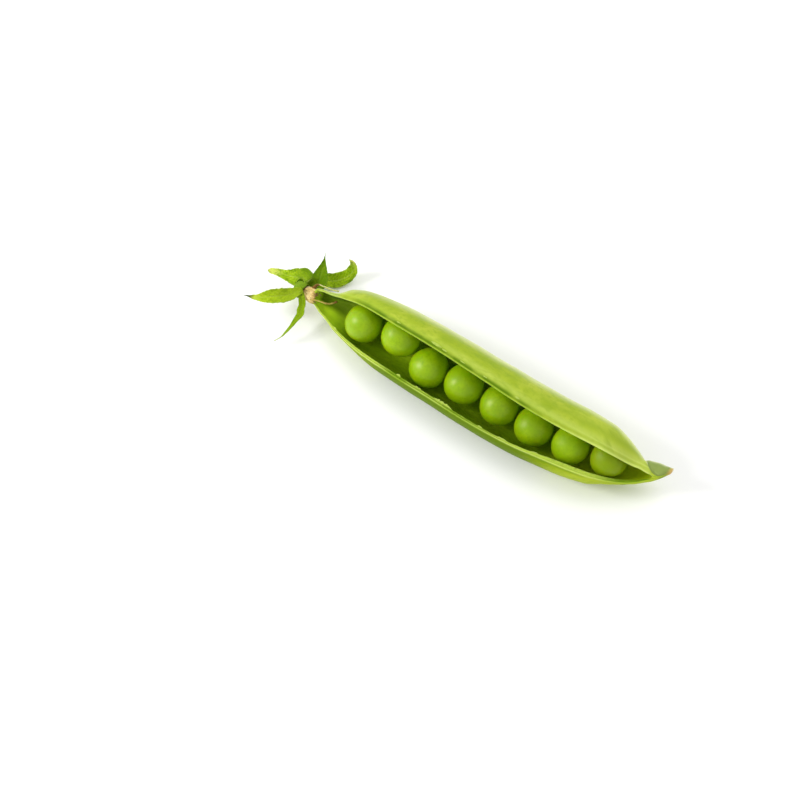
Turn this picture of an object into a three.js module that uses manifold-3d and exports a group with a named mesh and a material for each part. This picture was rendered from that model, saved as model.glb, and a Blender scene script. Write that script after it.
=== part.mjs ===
// An open garden pea pod: two valves still joined along the back seam, eight peas in a row,
// the calyx with its five sepals, and the withered stamen sheath between calyx and pod.
// Millimetres. +Z is up; the pod lies along X with its stalk end at -X and its beak at +X.
// The opening looks toward -Y and up.

import * as THREE from 'three';
import { mergeVertices } from 'three/addons/utils/BufferGeometryUtils.js';
import Module from 'manifold-3d';

const wasm = await Module();
wasm.setup();

// ---- driving dimensions ------------------------------------------------------------------

const POD_END = 98.2;            // where the beak's tip is, measured along the pod
const WALL = 1.2;                // thickness of a valve
const WALL_AT_ENDS = 1.0;
const LEAN = 38;                 // degrees between the table and the way the opening looks
const PEA_DIAMETER = 9.2;
const PITCH = 1.2;               // degrees that the beak's end is lifted, so the belly lies level
const FLAT_DEPTH = 0.5;          // how much of the belly the small resting flat takes away
const GAP = 0.3;                 // clear space between pieces that touch on the real thing

// The pod's cross section at a few places along it. Each valve is a half oval standing on a
// chord that starts at the back seam and ends at the rim.
//   x      place along the pod
//   width  length of the chord
//   bulge  height of the oval over the chord
//   belly  how much fuller, or flatter, than that the lower valve is
//   open   degrees that the chord is turned out from the middle
//   side   sideways drift of the back seam, as no pod is quite straight
//   back   how far the back seam has come forward
const STATIONS = [
  { x: 3.3, width: 3, bulge: 0.85, belly: 0, open: 30, side: 0.2, back: 3.4 },
  { x: 4.5, width: 4, bulge: 0.85, belly: 0.2, open: 30, side: 0, back: 2.7 },
  { x: 6.3, width: 5.4, bulge: 0.9, belly: 0.6, open: 28, side: 0, back: 2.1 },
  { x: 9, width: 7.4, bulge: 1.35, belly: 0.6, open: 25, side: 0.2, back: 1.4 },
  { x: 12, width: 9.4, bulge: 3.2, belly: -0.4, open: 25, side: 0.45, back: 0.9 },
  { x: 16, width: 11.1, bulge: 4, belly: -0.9, open: 26, side: 0.6, back: 0.5 },
  { x: 26, width: 14.1, bulge: 5.2, belly: 0.4, open: 23, side: 0.8, back: 0 },
  { x: 38, width: 15, bulge: 5.6, belly: 0.5, open: 22, side: 0.5, back: 0 },
  { x: 52, width: 15.2, bulge: 6, belly: 0.2, open: 21, side: -0.4, back: 0 },
  { x: 64, width: 15, bulge: 6.3, belly: 0, open: 19, side: -0.9, back: 0 },
  { x: 74, width: 14.2, bulge: 6.2, belly: 0, open: 17.5, side: -0.8, back: 0 },
  { x: 82, width: 12.7, bulge: 5.6, belly: -0.3, open: 17.3, side: -0.75, back: 0 },
  { x: 86, width: 10.9, bulge: 4.5, belly: -1.1, open: 17.2, side: -0.85, back: 0.1 },
  { x: 89.5, width: 8.1, bulge: 3.1, belly: -0.9, open: 17.5, side: -1.1, back: 0.3 },
  { x: 91.5, width: 6.8, bulge: 2.25, belly: -0.5, open: 16.5, side: -0.8, back: 0.5 },
  { x: 94.5, width: 5.4, bulge: 2.5, belly: -1, open: 7.2, side: 0, back: 0.5 },
  { x: 96.7, width: 4.2, bulge: 1.9, belly: -0.9, open: 1.5, side: 1.35, back: 1.4 },
  { x: POD_END, width: 2.2, bulge: 0.7, belly: -0.1, open: 1.5, side: 2.8, back: 2.2 },
];

// One pea a place: how far along, how far forward of the back seam, how far toward the upper
// valve, and its size beside the usual diameter.
const PEAS = [
  { x: 18, fore: 7.0, side: 0.4, size: 0.97 },
  { x: 27.7, fore: 7.1, side: 1.9, size: 1 },
  { x: 36.9, fore: 7.2, side: -1.65, size: 1 },
  { x: 46.15, fore: 6.8, side: -1.25, size: 1 },
  { x: 56, fore: 6.7, side: -1.65, size: 1 },
  { x: 65.4, fore: 6.5, side: -2.3, size: 0.98 },
  { x: 75.15, fore: 6.5, side: -1.95, size: 0.97 },
  { x: 84.2, fore: 5.9, side: -0.8, size: 0.9 },
];

// ---- small helpers -----------------------------------------------------------------------

const lean = THREE.MathUtils.degToRad(LEAN);
const FORE = new THREE.Vector3(0, -Math.cos(lean), Math.sin(lean));
const SIDE = new THREE.Vector3(0, Math.sin(lean), Math.cos(lean));

// A point of the pod from its place along, its distance fore of the back and its side offset.
function podPoint(x, fore, side) {
  return new THREE.Vector3(x, 0, 0).addScaledVector(FORE, fore).addScaledVector(SIDE, side);
}

// A smooth curve through (xs, ys) that never overshoots them.
function smoothThrough(xs, ys) {
  const n = xs.length;
  const rise = [];
  for (let i = 0; i < n - 1; i++) rise.push((ys[i + 1] - ys[i]) / (xs[i + 1] - xs[i]));
  const slope = [rise[0]];
  for (let i = 1; i < n - 1; i++) {
    const flat = rise[i - 1] * rise[i] <= 0;
    slope.push(flat ? 0 : (2 * rise[i - 1] * rise[i]) / (rise[i - 1] + rise[i]));
  }
  slope.push(rise[n - 2]);
  return (x) => {
    let i = 0;
    while (i < n - 2 && x > xs[i + 1]) i++;
    const h = xs[i + 1] - xs[i];
    const t = THREE.MathUtils.clamp((x - xs[i]) / h, 0, 1);
    const a = 2 * t ** 3 - 3 * t ** 2 + 1;
    const b = t ** 3 - 2 * t ** 2 + t;
    const c = -2 * t ** 3 + 3 * t ** 2;
    const d = t ** 3 - t ** 2;
    return a * ys[i] + b * h * slope[i] + c * ys[i + 1] + d * h * slope[i + 1];
  };
}

function stationCurve(key) {
  return smoothThrough(STATIONS.map((s) => s.x), STATIONS.map((s) => s[key]));
}

const widthAt = stationCurve('width');
const bulgeAt = stationCurve('bulge');
const bellyAt = stationCurve('belly');
const openAt = stationCurve('open');
const sideAt = stationCurve('side');
const backAt = stationCurve('back');

// Joins a row of equal closed loops into one closed body, with a flat cap at each end.
function loft(loops) {
  const count = loops[0].length;
  const positions = [];
  const index = [];
  for (const loop of loops) for (const p of loop) positions.push(p.x, p.y, p.z);
  for (let i = 0; i < loops.length - 1; i++) {
    for (let j = 0; j < count; j++) {
      const k = (j + 1) % count;
      const a = i * count + j;
      const b = i * count + k;
      index.push(a, b, a + count, b, b + count, a + count);
    }
  }
  for (const end of [0, loops.length - 1]) {
    const loop = loops[end];
    const middle = new THREE.Vector3();
    for (const p of loop) middle.addScaledVector(p, 1 / count);
    const along = new THREE.Vector3();
    for (let j = 0; j < count; j++) {
      const a = loop[j].clone().sub(middle);
      along.add(a.cross(loop[(j + 1) % count].clone().sub(middle)));
    }
    along.normalize();
    const across = loop[0].clone().sub(middle);
    across.addScaledVector(along, -across.dot(along)).normalize();
    const up = along.clone().cross(across);
    const flat = loop.map((p) => {
      const q = p.clone().sub(middle);
      return new THREE.Vector2(q.dot(across), q.dot(up));
    });
    for (const [a, b, c] of THREE.ShapeUtils.triangulateShape(flat, [])) {
      if (end === 0) index.push(a, c, b);
      else index.push(end * count + a, end * count + b, end * count + c);
    }
  }
  const geometry = new THREE.BufferGeometry();
  geometry.setAttribute('position', new THREE.Float32BufferAttribute(positions, 3));
  geometry.setIndex(index);
  return geometry;
}

function toSolid(geometry) {
  const bare = geometry.clone();
  bare.deleteAttribute('normal');
  bare.deleteAttribute('uv');
  const merged = mergeVertices(bare, 1e-5);
  const solid = new wasm.Manifold(new wasm.Mesh({
    numProp: 3,
    vertProperties: new Float32Array(merged.attributes.position.array),
    triVerts: new Uint32Array(merged.index.array),
  }));
  return solid;
}

// Same solid, but turned the right way out if its loops ran the other way round.
function toSolidOut(geometry) {
  const solid = toSolid(geometry);
  if (solid.volume() > 0) return solid;
  const index = geometry.index.array;
  for (let i = 0; i < index.length; i += 3) [index[i + 1], index[i + 2]] = [index[i + 2], index[i + 1]];
  return toSolid(geometry);
}

function toGeometry(solid) {
  const mesh = solid.getMesh();
  const geometry = new THREE.BufferGeometry();
  geometry.setAttribute('position', new THREE.BufferAttribute(mesh.vertProperties, 3));
  geometry.setIndex(new THREE.BufferAttribute(mesh.triVerts, 1));
  return geometry;
}

// A blade: a thin cupped strip along a spine, with its own width at every step.
//   spine   points from the root to the tip
//   width   function of 0..1 along the spine
//   face    functions of 0..1 giving the way the blade's upper face looks
//   cup     how much the edges rise over the middle, as a share of the width
function blade({ spine, width, face, cup = 0.12, thick = 0.7, steps = 14, across = 6 }) {
  const curve = new THREE.CatmullRomCurve3(spine, false, 'centripetal');
  const loops = [];
  for (let i = 0; i <= steps; i++) {
    const t = i / steps;
    const middle = curve.getPointAt(t);
    const ahead = curve.getTangentAt(t);
    const up = face(t).clone().addScaledVector(ahead, -face(t).dot(ahead)).normalize();
    const right = ahead.clone().cross(up);
    const half = width(t) / 2;
    const top = [];
    const bottom = [];
    for (let j = 0; j <= across; j++) {
      const s = -1 + (2 * j) / across;
      const rise = cup * width(t) * s * s;
      const edge = thick * (0.32 + 0.18 * (1 - s ** 4));
      const at = middle.clone().addScaledVector(right, s * half).addScaledVector(up, rise);
      top.push(at.clone().addScaledVector(up, edge));
      bottom.push(at.clone().addScaledVector(up, -edge));
    }
    loops.push([...top, ...bottom.reverse()]);
  }
  return toSolidOut(loft(loops));
}

// ---- the pod's wall ----------------------------------------------------------------------

const ARC_STEPS = 15;
const SEAM = 0.4;

// Half of a cross section, for the upper (+1) or lower (-1) valve. An inset moves it in by the
// thickness of the wall, which swells to a lip at the rim. Outside, the back seam stands proud.
function valveArc(x, which, inset, steps) {
  const w = widthAt(x);
  const b = bulgeAt(x) + (which < 0 ? bellyAt(x) : 0);
  const open = THREE.MathUtils.degToRad(openAt(x));
  const points = [];
  let furthest = 0;
  for (let i = 0; i <= steps; i++) {
    const turn = (Math.PI * i) / steps;
    let along = (w * (1 - Math.cos(turn))) / 2;
    let over = b * Math.sin(turn);
    const nx = (-Math.cos(turn)) * b;
    const ny = Math.sin(turn) * (w / 2);
    const size = Math.hypot(nx, ny);
    const lip = 1 + 0.4 * THREE.MathUtils.smoothstep(i / steps, 0.7, 1);
    const depth = Math.min(inset * lip, 0.75 * b);
    along -= (depth * nx) / size;
    over -= (depth * ny) / size;
    if (inset > 0) {
      over = Math.max(over, 0.03 + 0.08 * Math.sin(turn));
      along = Math.max(along, furthest + 0.02);
      furthest = along;
    }
    if (inset === 0 && i === 0) along -= SEAM * Math.min(1, w / 9);
    points.push([
      backAt(x) + along * Math.cos(open) - over * Math.sin(open),
      sideAt(x) + which * (along * Math.sin(open) + over * Math.cos(open)),
    ]);
  }
  return points;
}

function outerLoop(x) {
  const upper = valveArc(x, 1, 0, ARC_STEPS);
  const lower = valveArc(x, -1, 0, ARC_STEPS).reverse();
  return [...upper, ...lower.slice(0, -1)].map(([f, s]) => podPoint(x, f, s));
}

// The hollow at one place: inside both valves and out through the mouth.
function hollowLoop(x, wall) {
  const open = THREE.MathUtils.degToRad(openAt(x));
  const reach = 4;
  const loop = [];
  const upper = valveArc(x, 1, wall, ARC_STEPS - 3);
  const lower = valveArc(x, -1, wall, ARC_STEPS - 3);
  const [uf, us] = upper[upper.length - 1];
  const [lf, ls] = lower[lower.length - 1];
  loop.push(...upper);
  loop.push([uf + reach * Math.cos(open), us + reach * Math.sin(open)]);
  loop.push([lf + reach * Math.cos(open), ls - reach * Math.sin(open)]);
  loop.push(...lower.reverse());
  return loop.map(([f, s]) => podPoint(x, f, s));
}

function spread(from, to, steps) {
  return Array.from({ length: steps + 1 }, (_, i) => from + ((to - from) * i) / steps);
}

const outerPlaces = [...spread(3.3, 9, 5), 10.5, ...spread(12, 82, 21).slice(0, -1), ...spread(82, 94.5, 9),
  95.6, 96.7, 97.6, POD_END];
const hollowPlaces = [3.9, 4.3, 4.8, ...spread(5.6, 9, 3), 10.5, ...spread(12, 82, 21).slice(0, -1),
  ...spread(82, 94.2, 9)];
const wallAt = smoothThrough(
  [3.9, 4.3, 4.8, 12, 30, 70, 84, 94.2],
  [1.3, 1.05, 0.9, WALL, WALL, WALL, WALL_AT_ENDS, 0.9],
);

let shell = toSolidOut(loft(outerPlaces.map(outerLoop)));
const hollow = toSolidOut(loft(hollowPlaces.map((x) => hollowLoop(x, wallAt(x)))));
shell = shell.subtract(hollow);

// The neck that ties the pod to the calyx: a short peg that runs on from the stalk end.
const NECK_FORE = 4.9;
const NECK_SIDE = -0.6;
function ringAround(x, radius, sides, fore = NECK_FORE, side = NECK_SIDE, tall = 1) {
  return Array.from({ length: sides }, (_, j) => {
    const a = (2 * Math.PI * j) / sides;
    return podPoint(x, fore + radius * Math.cos(a), side + tall * radius * Math.sin(a));
  });
}
const neck = toSolidOut(loft([
  ringAround(0.5, 0.8, 14),
  ringAround(1.6, 0.9, 14),
  ringAround(2.8, 1.1, 14),
  ringAround(3.8, 1.3, 14),
]));
shell = shell.add(neck);

// Each pea hangs on a short stalk that rises from the inside of the back seam.
const pea = (p) => ({ ...p, radius: (p.size * PEA_DIAMETER) / 2 });
for (const p of PEAS.map(pea)) {
  const back = backAt(p.x);
  const side = sideAt(p.x);
  const reach = p.fore - p.radius - GAP - 0.15;
  if (reach < back + WALL + 0.2) continue;
  const stalk = [back + 0.6, back + WALL, reach].map((fore, i) => {
    const share = i / 2;
    const r = 0.6 - 0.15 * share;
    return Array.from({ length: 8 }, (_, j) => {
      const a = (2 * Math.PI * j) / 8;
      const middle = side + (p.side - side) * share * 0.5;
      return podPoint(p.x + r * Math.cos(a), fore, middle + r * Math.sin(a));
    });
  });
  shell = shell.add(toSolidOut(loft(stalk)));
}

// The small flat that the belly rests on. The pod is pitched a little before it is laid down, so
// the cut is made level in that pose.
const pose = new THREE.Matrix4().makeRotationY(-THREE.MathUtils.degToRad(PITCH));
const laid = shell.transform(pose.toArray());
const floorZ = laid.boundingBox().min[2] + FLAT_DEPTH;
const slab = new THREE.BoxGeometry(300, 200, 20);
slab.translate(0, 0, floorZ - 10);
slab.applyMatrix4(pose.clone().invert());
shell = shell.subtract(toSolid(slab));

// ---- the peas ----------------------------------------------------------------------------

// A pea is a ball, a little flattened where it is pressed against the next ones in the row.
function peaGeometry(radius) {
  const geometry = new THREE.IcosahedronGeometry(radius, 4);
  geometry.deleteAttribute('normal');
  geometry.deleteAttribute('uv');
  const ball = mergeVertices(geometry, 1e-4);
  const position = ball.attributes.position;
  for (let i = 0; i < position.count; i++) {
    const x = position.getX(i) / radius;
    const pressed = 1 - 0.035 * x * x;
    position.setXYZ(i, position.getX(i) * pressed, position.getY(i), position.getZ(i));
  }
  return ball;
}

// ---- the calyx ---------------------------------------------------------------------------

const v = (x, y, z) => new THREE.Vector3(x, y, z);
// A sepal leaves the cup with its face along the pod, then turns to face its own way.
const AHEAD = v(1, 0, 0);
const turning = (a, b) => (t) => {
  const own = a.clone().lerp(b, t).normalize();
  return AHEAD.clone().lerp(own, THREE.MathUtils.smoothstep(t, 0.05, 0.4)).normalize();
};


const sepals = [
  {
    // stands up and back
    spine: [podPoint(-1, 4.4, 0), podPoint(-0.7, 3.4, 1.8), podPoint(0.7, 2.6, 2.8), podPoint(1.6, 2.1, 3.5),
      podPoint(1.3, 1.1, 4.65), podPoint(0.67, 0.4, 6.5), podPoint(0.1, 0.2, 8.7)],
    width: smoothThrough([0, 0.2, 0.42, 0.65, 0.85, 1], [2.4, 3.0, 3.8, 2.3, 1.3, 0.7]),
    face: turning(v(0.45, -0.45, 0.8), v(0.2, -0.75, 0.6)),
    cup: 0.16,
  },
  {
    // sweeps out behind the pod, lies on the table there and hooks up and over at its end
    spine: [podPoint(-1, 4.1, -0.1), podPoint(-0.4, 1.8, 0.7), podPoint(1.5, -2.6, 1.3),
      podPoint(2.7, -5.1, 1.35), podPoint(4, -6.4, 2.3), podPoint(5.1, -7, 3.8),
      podPoint(5.6, -7.1, 5.5), podPoint(5.6, -6.4, 7), podPoint(5.2, -5.2, 8.1),
      podPoint(4.8, -3.8, 8.5)],
    width: smoothThrough([0, 0.3, 0.55, 0.68, 0.78, 0.88, 1], [2.2, 3.3, 3.4, 2.9, 2.3, 1.6, 0.8]),
    face: turning(v(0.1, -0.35, 1), v(-0.3, -0.85, 0.55)),
    cup: 0.14,
  },
  {
    // broad, to the left and upper side
    spine: [podPoint(-1.1, 3.9, -0.4), podPoint(-0.9, 2.9, 0.7), podPoint(-2, 2.4, 1.2),
      podPoint(-3.8, 2.3, 0.6), podPoint(-6.2, 2.1, -0.2), podPoint(-9.1, 1.9, -0.8),
      podPoint(-11.7, 2.1, -1.5)],
    width: smoothThrough([0, 0.18, 0.36, 0.55, 0.76, 1], [2.6, 3.7, 4, 2.6, 1.8, 1]),
    face: turning(v(0.15, -0.55, 0.9), v(0.1, -0.3, 1)),
    cup: 0.15,
  },
  {
    // long, to the left and lower side
    spine: [podPoint(-1.1, 5.4, -1), podPoint(-0.9, 6.6, -1.25), podPoint(-1.4, 7.8, -1.5),
      podPoint(-2.6, 9.2, -2.2), podPoint(-4.7, 11.2, -3.1), podPoint(-7.3, 12.3, -4.5),
      podPoint(-10.7, 13.2, -5.4)],
    width: smoothThrough([0, 0.16, 0.36, 0.54, 0.66, 0.78, 1], [2.2, 2.9, 3.4, 3, 2.1, 1.2, 0.7]),
    face: turning(v(0.35, -0.35, 0.85), v(0.5, -0.2, 0.9)),
    cup: 0.14,
  },
  {
    // narrow and twisted, straight down
    spine: [podPoint(-1.1, 5, -1.6), podPoint(-0.6, 4.8, -3), podPoint(0.8, 6.3, -3.6),
      podPoint(2, 7.6, -3.7), podPoint(2.5, 8.8, -4.6), podPoint(2.8, 10.3, -6.1),
      podPoint(2.7, 11.9, -8), podPoint(2.1, 13.1, -9.9), podPoint(0.9, 13.8, -11.7)],
    width: smoothThrough([0, 0.2, 0.42, 0.6, 0.8, 1], [2, 2.1, 2, 1.3, 0.95, 0.65]),
    face: turning(v(0.75, -0.2, 0.45), v(-0.75, 0.35, 0.7)),
    cup: 0.1,
  },
];

// The cup closes round the neck from behind, and the cut stub of the stalk runs back from it.
const stubPath = new THREE.CatmullRomCurve3([podPoint(-0.9, 4.7, -1.1), podPoint(-1.9, 3.6, -1.4),
  podPoint(-2.7, 1.9, -1.8), podPoint(-3.0, 0.2, -2.0)]);
const stubRound = new THREE.Shape(Array.from({ length: 10 }, (_, j) => {
  const a = (2 * Math.PI * j) / 10;
  return new THREE.Vector2(1.1 * Math.cos(a), 1.1 * Math.sin(a));
}));
const stub = new THREE.ExtrudeGeometry(stubRound, { steps: 8, bevelEnabled: false, extrudePath: stubPath });
const cup = loft([
  ringAround(-1.8, 0.9, 16),
  ringAround(-1.4, 1.6, 16),
  ringAround(-0.6, 2.15, 16),
  ringAround(0.15, 2.1, 16),
]);
let calyx = toSolidOut(cup).add(toSolidOut(stub));
for (const s of sepals) calyx = calyx.add(blade(s));

// ---- the withered stamen sheath ----------------------------------------------------------

// A crumpled papery ring round the neck, from just off the cup to just off the pod.
function sheathLoop(x, radius, seed) {
  return Array.from({ length: 20 }, (_, j) => {
    const a = (2 * Math.PI * j) / 20;
    const r = radius * (1 + 0.07 * Math.sin(3 * a + seed) + 0.05 * Math.sin(7 * a + 2 * seed));
    return podPoint(x, NECK_FORE + r * Math.cos(a), NECK_SIDE + r * Math.sin(a));
  });
}
let sheath = toSolidOut(loft([
  sheathLoop(0.5, 1.7, 0.3),
  sheathLoop(1.0, 1.8, 0.6),
  sheathLoop(1.7, 1.95, 1.2),
  sheathLoop(2.4, 2.0, 2.0),
  sheathLoop(2.95, 1.85, 2.4),
]));
const bore = toSolidOut(loft([
  ringAround(0.3, 1.2, 14),
  ringAround(1.6, 1.25, 14),
  ringAround(3.1, 1.5, 14),
]));
sheath = sheath.subtract(bore);

// Two withered threads hang from it: one droops into the mouth of the pod, and a flat one lies
// along the outside of the upper valve.
sheath = sheath.add(blade({
  spine: [podPoint(2.1, 6.4, -1.5), podPoint(3.2, 7.0, -1.1), podPoint(4.5, 6.9, -0.55), podPoint(5.8, 6.4, -0.4),
    podPoint(6.9, 5.8, -0.25), podPoint(7.8, 5.3, 0.05), podPoint(8.5, 4.5, 0.5)],
  width: () => 0.65,
  face: () => FORE,
  cup: 0,
  thick: 0.65,
  steps: 12,
  across: 2,
}));
sheath = sheath.add(blade({
  spine: [podPoint(2.0, 4.4, 0.9), podPoint(2.8, 4.4, 2.3), podPoint(4.3, 4.0, 2.4), podPoint(5.3, 3.7, 2.4),
    podPoint(6.5, 3.3, 2.5), podPoint(7.7, 2.7, 2.6)],
  width: smoothThrough([0, 0.5, 1], [1.0, 0.9, 0.7]),
  face: () => SIDE.clone().addScaledVector(FORE, -0.4).normalize(),
  cup: 0,
  thick: 0.62,
  steps: 9,
  across: 2,
}));

const group = new THREE.Group();

function add(name, geometry, color, roughness) {
  const material = new THREE.MeshStandardMaterial({ color, roughness, metalness: 0 });
  const mesh = new THREE.Mesh(geometry, material);
  mesh.name = name;
  group.add(mesh);
  return mesh;
}

add('pod_shell', toGeometry(shell), 0xacc23b, 0.45);
PEAS.map(pea).forEach((p, i) => {
  const mesh = add(`pea_${i + 1}`, peaGeometry(p.radius), 0x89aa15, 0.4);
  mesh.position.copy(podPoint(p.x, p.fore, p.side));
  mesh.rotation.set(0, 0, 0);
});
add('calyx', toGeometry(calyx), 0x91b228, 0.55);
add('stamen_sheath', toGeometry(sheath), 0xe9cf8b, 0.8);

// Lay the whole thing on the table, with the origin under the middle of its box.
group.rotation.y = -THREE.MathUtils.degToRad(PITCH);
const whole = new THREE.Box3().setFromObject(group, true);
group.position.set(-(whole.min.x + whole.max.x) / 2, -(whole.min.y + whole.max.y) / 2, -floorZ);
group.updateMatrixWorld(true);

export default group;
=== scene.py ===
# %% [markdown]
# # A split pea pod, in cells
# This lesson rebuilds a garden pea pod that has been opened along one seam: the wall with its
# two valves, eight peas in a row, the calyx with its five sepals, and the withered sleeve of old
# stamens between calyx and pod. We load the solid model first, because it fixes every size and
# place, and then make a finer visual piece for each of its nodes.

# %% Load the frame
import math
import bmesh
import bpy
import numpy as np
from mathutils import Matrix, Vector, noise


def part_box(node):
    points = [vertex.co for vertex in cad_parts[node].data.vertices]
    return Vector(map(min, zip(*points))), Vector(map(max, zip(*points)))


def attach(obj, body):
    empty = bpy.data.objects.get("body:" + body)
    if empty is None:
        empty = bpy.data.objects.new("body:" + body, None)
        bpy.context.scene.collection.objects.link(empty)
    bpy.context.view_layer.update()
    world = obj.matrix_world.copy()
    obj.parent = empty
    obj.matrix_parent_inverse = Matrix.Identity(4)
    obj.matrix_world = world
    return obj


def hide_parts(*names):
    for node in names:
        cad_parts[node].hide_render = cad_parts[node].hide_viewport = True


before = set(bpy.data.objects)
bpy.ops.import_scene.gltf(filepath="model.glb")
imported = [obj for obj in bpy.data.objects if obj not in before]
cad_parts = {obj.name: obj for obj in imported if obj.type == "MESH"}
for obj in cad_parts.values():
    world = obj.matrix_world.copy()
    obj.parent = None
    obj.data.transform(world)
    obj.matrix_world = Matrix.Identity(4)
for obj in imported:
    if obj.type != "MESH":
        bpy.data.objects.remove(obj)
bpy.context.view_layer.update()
MM = 0.001
print("nodes:", sorted(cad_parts))

# %% [markdown]
# ## Where the pod lies
# A pod is easiest to describe in its own directions: along it, fore (from the back seam towards
# the opening) and side (towards the upper valve). It leans back on the table, so the opening
# looks 38 degrees above level, and it is pitched a little so that its belly lies level. One small
# function turns those three numbers into a place in the scene. The last piece of the puzzle, how
# far the whole pod was shifted, is read off the solid of one pea, so nothing has to be guessed.

# %% The pod's own directions
LEAN = math.radians(38)
PITCH = math.radians(1.2)
FORE = np.array([0.0, -math.cos(LEAN), math.sin(LEAN)])
SIDE = np.array([0.0, math.sin(LEAN), math.cos(LEAN)])
TILT = np.array([[math.cos(PITCH), 0.0, -math.sin(PITCH)],
                 [0.0, 1.0, 0.0],
                 [math.sin(PITCH), 0.0, math.cos(PITCH)]])
# along, fore, side and radius of each pea, in millimetres
PEAS = [(18, 7, 0.4, 4.46), (27.7, 7.1, 1.9, 4.6), (36.9, 7.2, -1.65, 4.6),
        (46.15, 6.8, -1.25, 4.6), (56, 6.7, -1.65, 4.6), (65.4, 6.5, -2.3, 4.51),
        (75.15, 6.5, -1.95, 4.46), (84.2, 5.9, -0.8, 4.14)]


def laid(x, fore, side):
    """Places in the pod's own millimetres, turned as the pod lies, before the shift."""
    x, fore, side = np.broadcast_arrays(np.asarray(x, float), fore, side)
    p = x[..., None] * np.array([1.0, 0.0, 0.0]) + fore[..., None] * FORE + side[..., None] * SIDE
    return p @ TILT.T


def pod_vector(v):
    """A direction given in the frame of the table, turned with the pod."""
    return TILT @ np.asarray(v, float)


low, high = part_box("pea_3")
SHIFT = (np.array(low) + np.array(high)) / 2 - MM * laid(*PEAS[2][:3])


def to_scene(points):
    """Millimetres as laid, to metres in the scene."""
    return MM * points + SHIFT


print("shift, mm:", np.round(SHIFT / MM, 3))

# %% [markdown]
# ## Measures along the pod
# The pod's cross section changes slowly from stalk to beak. We note it at a few stations and draw
# smooth curves through them that never overshoot, so the skin has no dents between stations.

# %% Stations and smooth curves
POD_END = 98.2
STATIONS = [
    # x, width, bulge, belly, open, side, back
    (3.3, 3, 0.85, 0, 30, 0.2, 3.4),
    (4.5, 4, 0.85, 0.2, 30, 0, 2.7),
    (6.3, 5.4, 0.9, 0.6, 28, 0, 2.1),
    (9, 7.4, 1.35, 0.6, 25, 0.2, 1.4),
    (12, 9.4, 3.2, -0.4, 25, 0.45, 0.9),
    (16, 11.1, 4, -0.9, 26, 0.6, 0.5),
    (26, 14.1, 5.2, 0.4, 23, 0.8, 0),
    (38, 15, 5.6, 0.5, 22, 0.5, 0),
    (52, 15.2, 6, 0.2, 21, -0.4, 0),
    (64, 15, 6.3, 0, 19, -0.9, 0),
    (74, 14.2, 6.2, 0, 17.5, -0.8, 0),
    (82, 12.7, 5.6, -0.3, 17.3, -0.75, 0),
    (86, 10.9, 4.5, -1.1, 17.2, -0.85, 0.1),
    (89.5, 8.1, 3.1, -0.9, 17.5, -1.1, 0.3),
    (91.5, 6.8, 2.25, -0.5, 16.5, -0.8, 0.5),
    (94.5, 5.4, 2.5, -1, 7.2, 0, 0.5),
    (96.7, 4.2, 1.9, -0.9, 1.5, 1.35, 1.4),
    (POD_END, 2.2, 0.7, -0.1, 1.5, 2.8, 2.2),
]


def cubic(t, start, end, leaving, arriving):
    """A curve from start to end, for t from 0 to 1, with its slopes at both ends."""
    return ((2 * t**3 - 3 * t**2 + 1) * start + (t**3 - 2 * t**2 + t) * leaving
            + (3 * t**2 - 2 * t**3) * end + (t**3 - t**2) * arriving)


def smooth_through(xs, ys):
    """A smooth curve through points that never overshoots them."""
    xs, ys = np.asarray(xs, float), np.asarray(ys, float)
    rise = np.diff(ys) / np.diff(xs)
    slope = np.zeros(len(xs))
    slope[0], slope[-1] = rise[0], rise[-1]
    for i in range(1, len(xs) - 1):
        if rise[i - 1] * rise[i] > 0:
            slope[i] = 2 * rise[i - 1] * rise[i] / (rise[i - 1] + rise[i])

    def curve(x):
        x = np.asarray(x, float)
        i = np.clip(np.searchsorted(xs, x, side="right") - 1, 0, len(xs) - 2)
        h = xs[i + 1] - xs[i]
        t = np.clip((x - xs[i]) / h, 0, 1)
        return cubic(t, ys[i], ys[i + 1], h * slope[i], h * slope[i + 1])

    return curve


station_x = [s[0] for s in STATIONS]
width_at, bulge_at, belly_at, open_at, side_at, back_at = [
    smooth_through(station_x, [s[k] for s in STATIONS]) for k in range(1, 7)]
print("width of a valve at mid pod, mm:", round(float(width_at(50)), 2))

# %% [markdown]
# ## Small helpers
# Most of what we say about a pod is "here, fading out over there". Three soft shapes say it:
# `smoothstep` rises once, `between` rises and falls again, and `hill` is a bump at one place. A
# real skin is never even either. `drift` gives a slow random wander along one line and `ripple`
# one over a surface. Both are fixed by their seed, so the pod comes out the same every time.

# %% Soft shapes and uneven surfaces
def smoothstep(a, b, x):
    """Rises smoothly from 0 at a to 1 at b."""
    t = np.clip((np.asarray(x, float) - a) / (b - a), 0, 1)
    return t * t * (3 - 2 * t)


def between(a, b, c, d, x):
    """Rises from a to b, stays at 1, and falls again from c to d."""
    return smoothstep(a, b, x) * (1 - smoothstep(c, d, x))


def hill(x, middle, width):
    """A soft bump of height 1 around its middle."""
    return np.exp(-((x - middle) / width)**2)


def drift(x, size, seed):
    """A slow random wander along x, about -1 to 1, with bumps of that size."""
    flat = np.asarray(x, float).ravel()
    out = [noise.noise(Vector((v / size, seed * 7.31, seed * 1.7))) for v in flat]
    return 1.8 * np.array(out).reshape(np.shape(x))


def ripple(points, size, seed):
    """The same over points in space, in millimetres."""
    flat = points.reshape(-1, 3) / size
    out = [noise.noise(Vector((p[0] + seed, p[1] - seed, p[2] + 2 * seed))) for p in flat]
    return 1.8 * np.array(out).reshape(points.shape[:-1])


print("half way up a step:", float(smoothstep(0, 1, 0.5)))

# %% [markdown]
# `build` turns arrays into a mesh and stores named values on its points, where a finish can read
# them. `wrap` sews rows of points into a closed skin, and `outward` turns its faces the right way.

# %% Helpers for meshes
BACK = slice(None, None, -1)


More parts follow.
